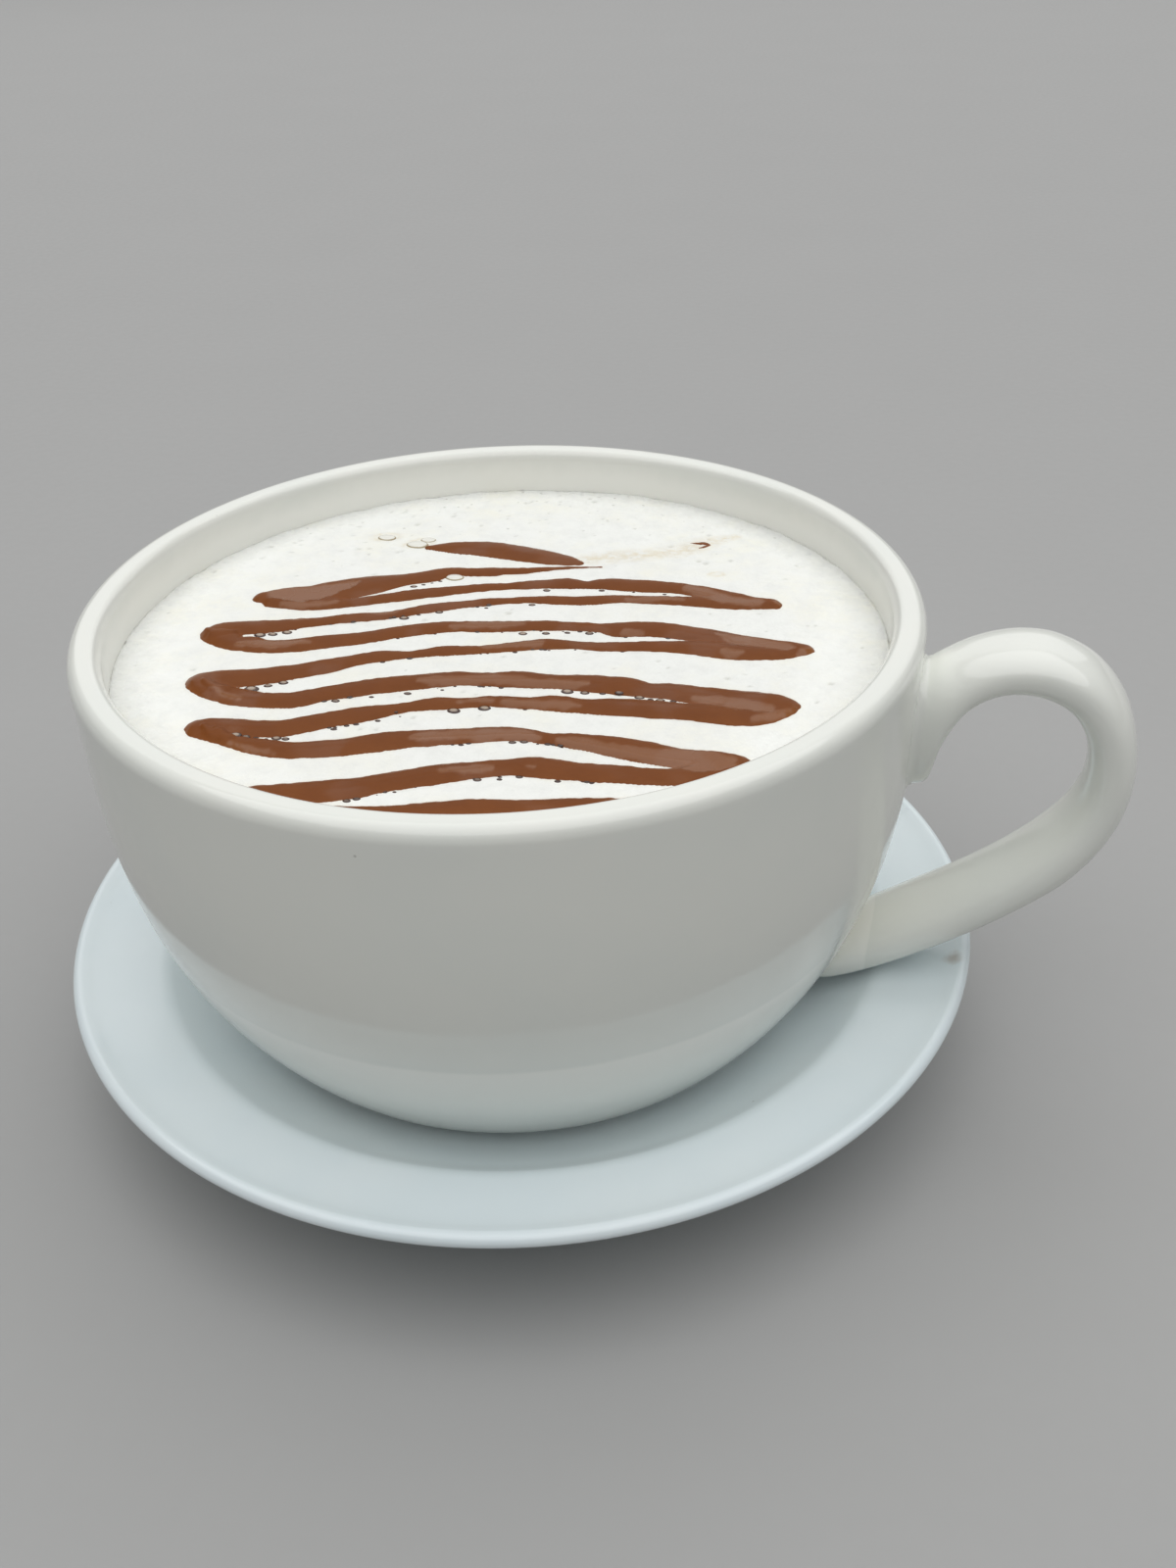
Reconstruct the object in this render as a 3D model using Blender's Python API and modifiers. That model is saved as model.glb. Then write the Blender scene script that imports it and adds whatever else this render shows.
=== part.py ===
"""A large cup of latte on its saucer, built in metres with +Z up.

The cup with its handle, the saucer and the drink are three turned solids in one frame.
The handle points along +X and the saucer stands on Z = 0.
"""

import math

import bmesh
import bpy

MM = 0.001

# Driving dimensions, in millimetres
RIM_RADIUS = 61.2            # outside of the cup's rim
CUP_HEIGHT = 67.5            # foot to the top of the lip
WALL_THICKNESS = 4.6         # at the level of the drink
LIP_THICKNESS = 4.6          # across the broad lip
LIP_ROUND_ACROSS = 1.9       # how far the lip is rounded over towards the outside
LIP_ROUND_DOWN = 2.2
LIP_INNER_ACROSS = 1.4       # and towards the inside
LIP_INNER_DOWN = 2.0
BELLY_HEIGHT = 60.0          # where the outer wall becomes upright
BELLY_INSET = 0.307          # how far the wall draws in at the foot, as a share of the rim radius
BELLY_POWER = 2.8            # how quickly it draws in
CUP_FLOOR = 7.0              # inner floor above the foot's underside
BOWL_CORNER = 9.0            # radius between the floor and the inner wall
BOWL_CORNER_START = -20.0    # in degrees, where the corner leaves the sloping wall
CUP_FOOT_RADIUS = 40.0
CUP_FOOT_HEIGHT = 2.6
CUP_FOOT_RECESS = 0.8        # how much less the underside is hollowed than the foot is high
FOOT_WIDTH = 4.0             # of the ring that cup and saucer each stand on
OUTER_HEIGHTS = (54.0, 47.0, 40.0, 33.0, 27.0, 21.5, 16.5, 12.0, 8.0, 4.5)   # profile points down the wall
INNER_HEIGHTS = (19.0, 24.0, 30.0, 37.0, 45.0, 53.0)                         # profile points up the inside

DRINK_LEVEL = 59.8           # edge of the foam above the cup's foot
FOAM_CROWN = 0.5             # how much the foam stands up in the middle
FOAM_EDGE_DROP = 0.2         # how much the foam rounds down at its edge
FOAM_SHARES = (0.0, 0.4, 0.75, 0.96)   # of the foam's radius, for its profile points
CLEARANCE = 0.3              # between pieces that touch

SAUCER_RADIUS = 72.5
SAUCER_EDGE_HEIGHT = 18.5    # widest point of the saucer's edge above the table
SAUCER_BEAD = 1.15           # radius of the rounded edge
SAUCER_BEAD_RISE = 0.55      # of the bead's middle above the edge height
SAUCER_THICKNESS = 4.0
STEP_RADIUS = 58.9           # where the broad rim ends and the well starts
STEP_FOOT_RADIUS = 55.4
STEP_TOP_DROP = 1.4          # below the edge height
STEP_FOOT_DROP = 3.4
WELL_RADIUS = 42.5           # flat floor that the cup stands on
SAUCER_FOOT_RADIUS = 45.5
SAUCER_FOOT_HEIGHT = 2.7

HANDLE_THICKNESS = 7.0
HANDLE_WIDTH = 13.6
HANDLE_REACH = 90.8          # from the saucer's axis to the outermost point of the handle
PAD_WIDTH = 17.0             # of the pad that carries the handle's upper root down the wall

# Stations of the handle: reach from the cup's axis, height above its foot, relative size
HANDLE_LOOP = [
    (58.9, 56.4, 1.15),
    (64.0, 59.3, 1.06),
    (71.0, 62.8, 0.98),
    (78.6, 63.1, 0.96),
    (85.3, 57.5, 0.94),
    (88.0, 47.2, 0.96),
    (84.2, 35.2, 1.06),
    (71.4, 23.0, 1.06),
    (60.0, 15.2, 1.14),
    (49.2, 9.4, 0.95),
]
HANDLE_PAD = [
    (60.6, 44.3, 0.78),
    (61.7, 48.2, 1.05),
    (62.6, 53.8, 1.10),
    (66.5, 59.0, 0.92),
]

CUP_STANDS_IN = 11.0         # the cup's foot below the saucer's edge height
CUP_STANDS_OFF = (-0.54, -0.63)   # the cup's axis, away from the middle of the saucer

TURN_STEPS = 56              # facets round each turned piece

# Heights above the table
CUP_BASE = SAUCER_EDGE_HEIGHT - CUP_STANDS_IN
WELL_FLOOR = CUP_BASE - CLEARANCE


def clear_scene():
    for thing in list(bpy.data.objects):
        bpy.data.objects.remove(thing, do_unlink=True)


def make_collection(name):
    collection = bpy.data.collections.new(name)
    bpy.context.scene.collection.children.link(collection)
    return collection


def make_material(name, colour, roughness, coat=0.0):
    material = bpy.data.materials.new(name)
    material.use_nodes = True
    shader = material.node_tree.nodes["Principled BSDF"]
    shader.inputs["Base Color"].default_value = (*colour, 1.0)
    shader.inputs["Roughness"].default_value = roughness
    shader.inputs["Metallic"].default_value = 0.0
    shader.inputs["Coat Weight"].default_value = coat
    return material


def arc(centre, radius, start, end, steps):
    """Points on an arc in the profile plane, angles in degrees from the outward direction."""
    points = []
    for step in range(steps + 1):
        angle = math.radians(start + (end - start) * step / steps)
        points.append((centre[0] + radius * math.cos(angle), centre[1] + radius * math.sin(angle)))
    return points


def turned(name, profile, collection, material):
    """A solid of revolution: the profile runs from the axis over the top and down the outside."""
    mesh = bpy.data.meshes.new(name)
    vertices = [(r * MM, 0.0, z * MM) for r, z in profile]
    edges = [(i, i + 1) for i in range(len(vertices) - 1)]
    mesh.from_pydata(vertices, edges, [])
    piece = bpy.data.objects.new(name, mesh)
    collection.objects.link(piece)
    screw = piece.modifiers.new("Turn", "SCREW")
    screw.axis = "Z"
    screw.angle = math.tau
    screw.steps = TURN_STEPS
    screw.render_steps = TURN_STEPS
    screw.use_merge_vertices = True
    screw.merge_threshold = 0.00001
    screw.use_smooth_shade = True
    mesh.materials.append(material)
    return piece


def as_mesh(piece, name):
    """A mesh object from the evaluated piece, with its loose caps welded; the piece is removed."""
    bpy.context.view_layer.update()
    depsgraph = bpy.context.evaluated_depsgraph_get()
    mesh = bpy.data.meshes.new_from_object(piece.evaluated_get(depsgraph))
    welder = bmesh.new()
    welder.from_mesh(mesh)
    bmesh.ops.remove_doubles(welder, verts=welder.verts, dist=0.00001)
    bmesh.ops.recalc_face_normals(welder, faces=welder.faces)
    welder.to_mesh(mesh)
    welder.free()
    result = bpy.data.objects.new(name, mesh)
    result.matrix_world = piece.matrix_world.copy()
    bpy.data.objects.remove(piece, do_unlink=True)
    return result


def outer_radius(height):
    """The cup's outer wall: upright at the rim, drawn in towards the foot."""
    depth = max(0.0, BELLY_HEIGHT - height) / BELLY_HEIGHT
    return RIM_RADIUS * (1.0 - BELLY_INSET * depth ** BELLY_POWER)


def inner_radius(height):
    """The cup's inner wall, a little thinner from the drink up to the lip."""
    taper = max(0.0, height - DRINK_LEVEL) / (CUP_HEIGHT - LIP_INNER_DOWN - DRINK_LEVEL)
    thickness = WALL_THICKNESS + (LIP_THICKNESS - WALL_THICKNESS) * min(1.0, taper)
    return outer_radius(height) - thickness


def lip():
    """The rounded lip, from the inner wall over the top to the outer wall."""
    inner_crest = RIM_RADIUS - LIP_THICKNESS + LIP_INNER_ACROSS
    outer_crest = RIM_RADIUS - LIP_ROUND_ACROSS
    points = [(inner_crest + LIP_INNER_ACROSS * across, CUP_HEIGHT + LIP_INNER_DOWN * (up - 1.0))
              for across, up in arc((0.0, 0.0), 1.0, 180.0, 90.0, 4)]
    points += [(outer_crest + LIP_ROUND_ACROSS * across, CUP_HEIGHT + LIP_ROUND_DOWN * (up - 1.0))
               for across, up in arc((0.0, 0.0), 1.0, 90.0, 0.0, 4)]
    return points


def bowl_corner(inset):
    """The rounded corner between the inner wall and the floor, kept clear by inset."""
    corner = BOWL_CORNER - inset
    floor = CUP_FLOOR + inset
    wall = inner_radius(CUP_FLOOR + BOWL_CORNER) - inset
    return arc((wall - corner, floor + corner), corner, BOWL_CORNER_START, -90.0, 5)


def cup_profile():
    underside = CUP_FOOT_HEIGHT - CUP_FOOT_RECESS
    above_drink = (DRINK_LEVEL + CUP_HEIGHT) / 2.0

    profile = [(0.0, CUP_FLOOR)]
    profile += list(reversed(bowl_corner(0.0)))
    profile += [(inner_radius(height), height) for height in (*INNER_HEIGHTS, DRINK_LEVEL, above_drink)]
    profile += lip()
    profile += [(outer_radius(height), height) for height in OUTER_HEIGHTS]
    profile += [
        (outer_radius(CUP_FOOT_HEIGHT) - 1.2, CUP_FOOT_HEIGHT),
        (CUP_FOOT_RADIUS + 0.6, CUP_FOOT_HEIGHT - 0.4),
        (CUP_FOOT_RADIUS, CUP_FOOT_HEIGHT - 1.0),
        (CUP_FOOT_RADIUS - 0.6, 0.0),
        (CUP_FOOT_RADIUS - FOOT_WIDTH, 0.0),
        (CUP_FOOT_RADIUS - FOOT_WIDTH - 1.0, underside),
        (0.0, underside),
    ]
    return profile


def drink_profile():
    foam_radius = inner_radius(DRINK_LEVEL) - CLEARANCE

    profile = []
    for share in FOAM_SHARES:
        crown = FOAM_CROWN * math.cos(share * math.pi / 2.0)
        profile.append((foam_radius * share, DRINK_LEVEL + crown))
    profile.append((foam_radius, DRINK_LEVEL - FOAM_EDGE_DROP))
    profile += [(inner_radius(height) - CLEARANCE, height) for height in reversed(INNER_HEIGHTS)]
    profile += bowl_corner(CLEARANCE)
    profile.append((0.0, CUP_FLOOR + CLEARANCE))
    return profile


def saucer_profile():
    edge = SAUCER_EDGE_HEIGHT
    bead_centre = (SAUCER_RADIUS - SAUCER_BEAD, edge + SAUCER_BEAD_RISE)
    step_top = edge - STEP_TOP_DROP
    step_foot = edge - STEP_FOOT_DROP
    underside = edge - SAUCER_THICKNESS

    profile = [
        (0.0, WELL_FLOOR),
        (WELL_RADIUS - 1.5, WELL_FLOOR),
        (WELL_RADIUS, WELL_FLOOR + 0.4),
        (WELL_RADIUS + 4.0, WELL_FLOOR + 2.4),
        (WELL_RADIUS + 8.5, WELL_FLOOR + 5.2),
        (STEP_FOOT_RADIUS - 0.8, step_foot - 0.3),
        (STEP_FOOT_RADIUS + 0.3, step_foot + 0.3),
        (STEP_RADIUS - 1.4, step_top - 0.5),
        (STEP_RADIUS, step_top),
        (STEP_RADIUS + 2.0, step_top + 0.3),
        (64.5, step_top + 0.8),
        (68.5, edge + 0.6),
    ]
    profile += arc(bead_centre, SAUCER_BEAD, 120.0, -60.0, 8)
    profile += [
        (68.0, underside + 0.6),
        (STEP_RADIUS, underside - 1.4),
        (STEP_FOOT_RADIUS - 3.0, underside - 4.6),
        (SAUCER_FOOT_RADIUS + 1.4, SAUCER_FOOT_HEIGHT),
        (SAUCER_FOOT_RADIUS + 0.5, 0.6),
        (SAUCER_FOOT_RADIUS, 0.0),
        (SAUCER_FOOT_RADIUS - FOOT_WIDTH, 0.0),
        (SAUCER_FOOT_RADIUS - FOOT_WIDTH - 0.8, SAUCER_FOOT_HEIGHT),
        (0.0, SAUCER_FOOT_HEIGHT),
    ]
    return profile


def strap(name, stations, width):
    """A strap of elliptical section through stations of reach, height and relative size."""
    curve = bpy.data.curves.new(name, "CURVE")
    curve.dimensions = "3D"
    curve.bevel_depth = HANDLE_THICKNESS / 2.0 * MM
    curve.bevel_resolution = 2
    curve.use_fill_caps = True
    curve.resolution_u = 3
    spline = curve.splines.new("BEZIER")
    spline.bezier_points.add(len(stations) - 1)
    for point, (reach, height, size) in zip(spline.bezier_points, stations):
        point.co = (reach * MM, 0.0, height * MM)
        point.radius = size
        point.handle_left_type = "AUTO"
        point.handle_right_type = "AUTO"
    piece = bpy.data.objects.new(name, curve)
    piece.scale.y = width / HANDLE_THICKNESS
    bpy.context.scene.collection.objects.link(piece)
    return as_mesh(piece, name)


def join_to(piece, extra, cutters):
    """Union of a mesh into the piece; the added mesh stays as a hidden cutter."""
    cutters.objects.link(extra)
    extra.parent = piece
    extra.display_type = "WIRE"
    extra.hide_render = True
    union = piece.modifiers.new("Join " + extra.name, "BOOLEAN")
    union.operation = "UNION"
    union.solver = "EXACT"
    union.object = extra


def make_cup(parts, cutters, material):
    cup = turned("cup", cup_profile(), parts, material)
    loop = strap("handle_loop", HANDLE_LOOP, HANDLE_WIDTH)
    pad = strap("handle_pad", HANDLE_PAD, PAD_WIDTH)
    join_to(cup, loop, cutters)
    join_to(cup, pad, cutters)
    return cup


def main():
    clear_scene()
    parts = make_collection("latte")
    cutters = make_collection("latte cutters")
    porcelain = make_material("cup glaze", (0.80, 0.80, 0.76), 0.10, coat=0.4)
    cool_porcelain = make_material("saucer glaze", (0.78, 0.81, 0.82), 0.12, coat=0.4)
    foam = make_material("milk foam", (0.86, 0.84, 0.78), 0.65)

    stand = bpy.data.objects.new("stand", None)
    stand.location.x = (SAUCER_RADIUS - HANDLE_REACH) / 2.0 * MM
    parts.objects.link(stand)

    cup = make_cup(parts, cutters, porcelain)
    drink = turned("latte", drink_profile(), parts, foam)
    saucer = turned("saucer", saucer_profile(), parts, cool_porcelain)
    for piece in (cup, drink, saucer):
        piece.parent = stand
    for piece in (cup, drink):
        piece.location = (CUP_STANDS_OFF[0] * MM, CUP_STANDS_OFF[1] * MM, CUP_BASE * MM)


main()
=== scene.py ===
"""A large cup of latte on its saucer: glazed cup and saucer, milk foam and poured chocolate sauce."""

import math

import bmesh
import bpy
import numpy as np
from mathutils import Matrix, Vector


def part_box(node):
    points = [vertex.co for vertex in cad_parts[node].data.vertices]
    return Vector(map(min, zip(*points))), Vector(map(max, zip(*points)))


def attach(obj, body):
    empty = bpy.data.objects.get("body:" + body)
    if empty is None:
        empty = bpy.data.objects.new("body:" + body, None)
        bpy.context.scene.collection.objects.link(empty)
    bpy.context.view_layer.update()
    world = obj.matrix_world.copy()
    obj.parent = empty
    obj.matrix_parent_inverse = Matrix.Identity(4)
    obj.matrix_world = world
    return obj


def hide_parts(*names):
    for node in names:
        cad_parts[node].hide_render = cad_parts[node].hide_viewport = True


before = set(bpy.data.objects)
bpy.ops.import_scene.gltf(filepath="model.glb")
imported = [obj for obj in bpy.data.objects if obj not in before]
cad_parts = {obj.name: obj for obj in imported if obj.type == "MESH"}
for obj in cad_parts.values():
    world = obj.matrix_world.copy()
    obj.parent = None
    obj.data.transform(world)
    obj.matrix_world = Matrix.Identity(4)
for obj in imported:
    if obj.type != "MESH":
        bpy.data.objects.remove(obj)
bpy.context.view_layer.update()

bl_info = {
    "name": "Latte Maker",
    "version": (1, 0, 0),
    "blender": (4, 5, 0),
    "location": "3D View > Sidebar > Latte",
    "description": "Makes a cup of latte with its saucer, foam and chocolate sauce over the packed frame",
    "category": "Add Mesh",
}

MM = 0.001
CUP_LOW, CUP_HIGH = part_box("cup")
SAUCER_LOW, SAUCER_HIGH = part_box("saucer")
DRINK_LOW, DRINK_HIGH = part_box("latte")

# The cup's axis and the saucer's axis, in metres
CUP_AXIS = ((DRINK_LOW[0] + DRINK_HIGH[0]) / 2.0, (DRINK_LOW[1] + DRINK_HIGH[1]) / 2.0)
SAUCER_AXIS = ((SAUCER_LOW[0] + SAUCER_HIGH[0]) / 2.0, (SAUCER_LOW[1] + SAUCER_HIGH[1]) / 2.0)
CUP_FOOT = np.array((*CUP_AXIS, CUP_LOW[2])) / MM   # middle of the cup's foot, in millimetres

# Shape of the cup, in millimetres and as shares
BELLY_HEIGHT = 60.0            # the wall draws in below this height
BELLY_INSET = 0.307            # by this share of the rim's radius at the foot
BELLY_POWER = 2.8              # and mostly low down
LIP_OUTER_ROUND = (1.9, 2.2)   # how far the lip is rounded over outside, across and down
LIP_INNER_ROUND = (1.4, 2.0)
CUP_FLOOR = 7.0
BOWL_CORNER = 9.0              # radius of the corner between the cup's floor and its wall
INNER_WALL_FROM = 17.5         # height where the plain inner wall starts over that corner
OUTER_WALL_TO = 5.2            # height where the plain outer wall ends over the foot
WALL_STEP = 1.1
FOOT_RADIUS = 40.0
FOOT_HEIGHT = 2.6
FOOT_WIDTH = 4.0
FOOT_HOLLOW = 1.8              # height of the underside inside the foot ring
TURN_STEPS = 288

# The handle from its upper root to its lower one, in millimetres from the cup's axis and foot:
# outer side's reach and height, inner side's reach and height, half width on the outer and inner side
HANDLE_STATIONS = (
    (57.6, 59.2, 57.6, 43.2, 7.8, 5.6),
    (60.4, 60.5, 60.4, 43.0, 7.7, 5.8),
    (63.6, 63.0, 63.3, 44.0, 7.5, 6.4),
    (67.0, 65.0, 64.6, 50.2, 7.3, 6.8),
    (70.6, 66.2, 67.2, 56.2, 7.0, 6.9),
    (74.6, 66.8, 71.4, 59.4, 6.8, 6.8),
    (79.2, 66.3, 76.4, 59.9, 6.7, 6.7),
    (84.6, 63.6, 80.8, 58.0, 6.6, 6.6),
    (88.9, 58.4, 83.5, 54.4, 6.6, 6.6),
    (91.1, 51.6, 84.7, 49.8, 6.6, 6.6),
    (91.3, 44.6, 84.6, 45.0, 6.7, 6.7),
    (89.4, 37.6, 82.8, 40.2, 6.9, 6.9),
    (85.2, 30.6, 79.2, 35.2, 7.2, 7.2),
    (79.2, 24.6, 74.4, 30.4, 7.3, 7.3),
    (72.6, 19.2, 68.4, 25.5, 7.4, 7.4),
    (65.8, 14.5, 62.2, 21.0, 7.6, 7.6),
    (58.6, 10.0, 55.6, 16.4, 7.4, 7.4),
    (52.3, 6.9, 50.4, 12.8, 6.9, 6.9),
    (47.6, 6.2, 47.2, 10.9, 6.0, 6.0),
)
HANDLE_SQUARENESS = 2.4      # 2 is an ellipse, more is squarer
HANDLE_FLARE = 1.3           # how near the wall the roots start to spread
LARGEST_FLARE = 2.2
HANDLE_STEP = 0.9
HANDLE_AROUND = 56

# The saucer, in millimetres: reach from its axis, height over the table and how far the corner is rounded
WELL = ((0.0, 7.2, 0.0), (41.6, 7.2, 2.0), (46.5, 9.4, 2.4), (51.6, 12.3, 2.4))
SAUCER_FOOT = ((46.9, 2.9, 1.0), (45.9, 0.0, 0.6), (41.5, 0.0, 0.5), (40.6, 2.7, 0.8), (0.0, 2.7, 0.0))

# The same for the rim and the side under it, with heights over the middle of the rounded edge
SAUCER_RIM = (
    (55.4, -3.8, 1.6), (58.6, -1.5, 1.3), (62.0, -1.0, 1.6), (65.5, -0.35, 2.0), (68.7, 0.55, 1.6),
    (70.82, 1.54, 0.0),
)
SAUCER_SIDE = ((70.6, -2.0, 0.6), (68.0, -3.4, 1.5), (58.3, -5.4, 2.2), (51.7, -8.6, 2.2))
BEAD_RADIUS = 1.15           # of the rounded edge
BEAD_RISE = 0.55

BARE_HEIGHT = 0.7            # the foot rings are unglazed up to here

# The direction that the sauce lines run in, turned from the handle's
POUR_TURN = math.radians(18.0)

# Sauce lines in pouring order: millimetres along the lines, millimetres away from the drinker, half width
POURED_LINES = {
    "first dab": (
        (-11.3, 33.1, 0.8), (-7.4, 32.6, 2.0), (-1.0, 30.9, 2.9), (2.9, 29.0, 2.95), (6.9, 26.9, 2.6),
        (10.8, 24.6, 1.8), (13.2, 23.2, 0.7),
    ),
    "trail": (
        (-36.9, 17.6, 1.8), (-33.5, 17.2, 3.2), (-29.0, 17.4, 3.9), (-24.5, 18.9, 3.8), (-20.5, 19.9, 3.3),
        (-17.5, 20.6, 2.7), (-14.5, 20.9, 2.1), (-10.8, 21.6, 2.2), (-7.5, 22.8, 1.4), (-3.3, 22.1, 1.45),
        (2.8, 21.7, 1.1), (8.4, 21.8, 0.55), (12.5, 21.6, 0.35), (16.6, 21.3, 0.2),
    ),
    "first line": (
        (-35.0, 16.0, 2.2), (-31.0, 14.7, 2.2), (-27.0, 14.0, 1.9), (-23.0, 13.7, 1.4), (-18.5, 14.4, 1.6),
        (-14.1, 14.9, 1.8), (-9.1, 15.5, 1.5), (-4.0, 16.1, 1.35), (1.6, 16.2, 1.2), (6.5, 16.1, 1.5),
        (10.7, 15.8, 1.75), (13.7, 14.8, 1.3), (16.8, 14.8, 1.9), (22.6, 13.5, 2.0), (27.7, 12.0, 1.9),
        (31.9, 9.9, 2.1), (35.5, 7.4, 2.1), (38.6, 5.4, 1.8), (41.3, 4.8, 1.5),
    ),
    "second line": (
        (40.5, 4.6, 1.4), (36.5, 5.2, 1.7), (31.5, 6.7, 1.8), (27.4, 7.5, 1.5), (23.4, 8.4, 1.3),
        (18.6, 9.3, 1.2), (13.0, 9.5, 1.55), (8.5, 10.2, 1.35), (3.4, 10.9, 0.95), (-1.6, 10.9, 1.1),
        (-6.8, 10.3, 1.25), (-10.7, 9.8, 1.4), (-14.8, 8.9, 1.15), (-18.0, 8.4, 1.15), (-22.7, 8.4, 1.4),
        (-29.0, 7.7, 1.4), (-34.4, 7.2, 2.1), (-38.5, 7.3, 2.3), (-42.0, 7.0, 2.5), (-43.1, 6.4, 2.2),
    ),
    "third line": (
        (-43.0, 5.9, 2.2), (-42.0, 4.9, 2.4), (-39.6, 2.4, 2.2), (-37.6, 1.8, 2.35), (-35.5, 0.9, 2.15),
        (-31.4, 0.4, 2.1), (-26.4, 1.0, 2.1), (-21.0, 1.5, 1.85), (-13.8, 2.9, 1.9), (-7.4, 3.3, 1.6),
        (-1.7, 2.6, 1.75), (5.5, 2.0, 1.45), (11.1, 1.1, 1.35), (14.6, 0.2, 1.3), (17.6, -0.7, 2.2),
        (22.7, -1.3, 2.2), (27.5, -3.3, 2.3), (33.4, -6.1, 2.1), (38.0, -8.3, 1.9), (42.3, -10.0, 1.75),
        (43.4, -10.2, 1.4),
    ),
    "fourth line": (
        (42.5, -10.6, 1.5), (38.4, -10.9, 2.0), (33.8, -9.9, 2.4), (29.5, -8.4, 2.2), (26.0, -7.4, 1.8),
        (20.4, -6.4, 1.4), (14.2, -5.6, 1.4), (10.4, -4.7, 1.1), (6.2, -3.9, 1.5), (2.0, -4.0, 1.35),
        (-3.0, -4.4, 1.25), (-8.9, -4.2, 1.35), (-13.6, -4.8, 1.1), (-17.4, -4.6, 1.7), (-21.0, -5.3, 1.6),
        (-25.6, -6.7, 2.05), (-29.7, -7.6, 2.3), (-34.2, -8.4, 2.5), (-38.0, -8.7, 2.45),
        (-41.5, -8.4, 2.5), (-43.0, -8.4, 2.3),
    ),
    "fifth line": (
        (-42.9, -9.4, 2.2), (-41.4, -11.3, 2.2), (-38.4, -13.3, 2.3), (-36.2, -14.3, 2.2),
        (-33.8, -15.3, 1.9), (-29.4, -15.9, 2.15), (-25.0, -14.9, 2.1), (-20.0, -13.9, 2.25),
        (-15.5, -13.2, 2.2), (-10.4, -12.8, 2.15), (-6.5, -12.7, 2.1), (-2.1, -13.5, 1.95),
        (1.7, -13.8, 2.3), (5.8, -15.0, 2.1), (11.0, -16.2, 2.35), (16.3, -17.8, 2.4), (19.5, -19.2, 2.05),
        (22.6, -19.9, 2.3), (26.5, -21.6, 2.6), (30.8, -23.2, 2.5), (35.5, -24.5, 2.4), (38.0, -25.4, 1.7),
    ),
    "sixth line": (
        (37.3, -26.3, 1.8), (34.5, -27.3, 2.6), (30.5, -27.3, 2.8), (26.5, -26.4, 2.4), (21.6, -25.2, 2.4),
        (15.9, -23.7, 2.4), (10.8, -22.6, 2.0), (6.8, -21.3, 2.2), (3.3, -20.8, 1.6), (-2.2, -19.6, 1.4),
        (-6.0, -19.7, 1.5), (-9.7, -19.4, 1.8), (-13.9, -20.0, 1.15), (-19.2, -21.0, 1.95),
        (-24.5, -22.1, 2.1), (-29.8, -23.4, 2.1), (-33.5, -23.0, 2.1), (-37.0, -22.1, 2.2),
        (-40.3, -21.4, 2.1), (-41.7, -21.3, 1.9),
    ),
    "seventh line": (
        (-41.4, -22.1, 1.9), (-39.0, -23.7, 1.9), (-35.9, -26.1, 1.5), (-32.2, -27.9, 1.8),
        (-28.4, -29.1, 2.05), (-24.0, -29.2, 2.15), (-20.0, -29.0, 2.2), (-15.0, -28.4, 2.3),
        (-10.0, -28.3, 2.1), (-6.0, -28.3, 2.0), (-2.0, -28.4, 1.9), (1.6, -29.0, 1.65),
        (5.2, -30.5, 1.35), (8.2, -31.4, 1.85), (12.4, -33.1, 2.2), (17.2, -35.3, 2.6), (21.5, -37.2, 2.4),
        (26.0, -38.2, 2.2), (29.2, -38.9, 1.6),
    ),
    "eighth line": (
        (28.6, -39.9, 1.7), (25.0, -41.0, 2.4), (19.8, -41.4, 1.9), (14.1, -40.2, 2.0), (8.6, -38.9, 2.05),
        (5.0, -37.7, 2.4), (2.6, -37.0, 2.4), (-1.0, -36.8, 1.95), (-7.3, -37.2, 2.2),
        (-12.0, -37.9, 2.25), (-16.0, -38.5, 2.3), (-19.5, -39.3, 2.4), (-23.5, -39.4, 2.4),
        (-28.0, -39.2, 2.2), (-32.5, -38.9, 2.0), (-34.6, -38.8, 1.4),
    ),
    "last line": (
        (-34.2, -39.4, 1.4), (-30.5, -41.9, 1.8), (-25.0, -44.2, 1.8), (-16.5, -45.4, 1.8),
        (-11.3, -45.4, 1.7), (-6.0, -45.3, 1.7), (-0.3, -45.9, 1.8), (8.0, -46.5, 1.7), (14.2, -47.1, 1.6),
        (20.0, -47.2, 1.4), (24.0, -46.7, 0.8),
    ),
    "stray drop": (
        (31.9, 29.3, 0.08), (33.0, 28.8, 0.30), (34.3, 28.5, 0.42), (34.9, 27.7, 0.24), (34.0, 27.1, 0.30),
        (33.2, 26.9, 0.08),
    ),
}

# Small folds that stand up where a line turned back on itself: along, away, half width
CURLS = (
    ((-44.4, 6.6, 0.3), (-42.9, 5.0, 0.7), (-40.6, 5.1, 0.5), (-39.6, 5.6, 0.2)),
    ((-42.4, -9.6, 0.3), (-41.0, -11.2, 0.7), (-39.2, -12.2, 0.6), (-38.2, -12.3, 0.2)),
    ((-40.7, -22.4, 0.3), (-39.2, -24.4, 0.7), (-37.4, -25.4, 0.7), (-36.2, -25.6, 0.2)),
    ((-38.9, -23.0, 0.3), (-38.2, -23.9, 0.6), (-37.6, -24.4, 0.2)),
)

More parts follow.
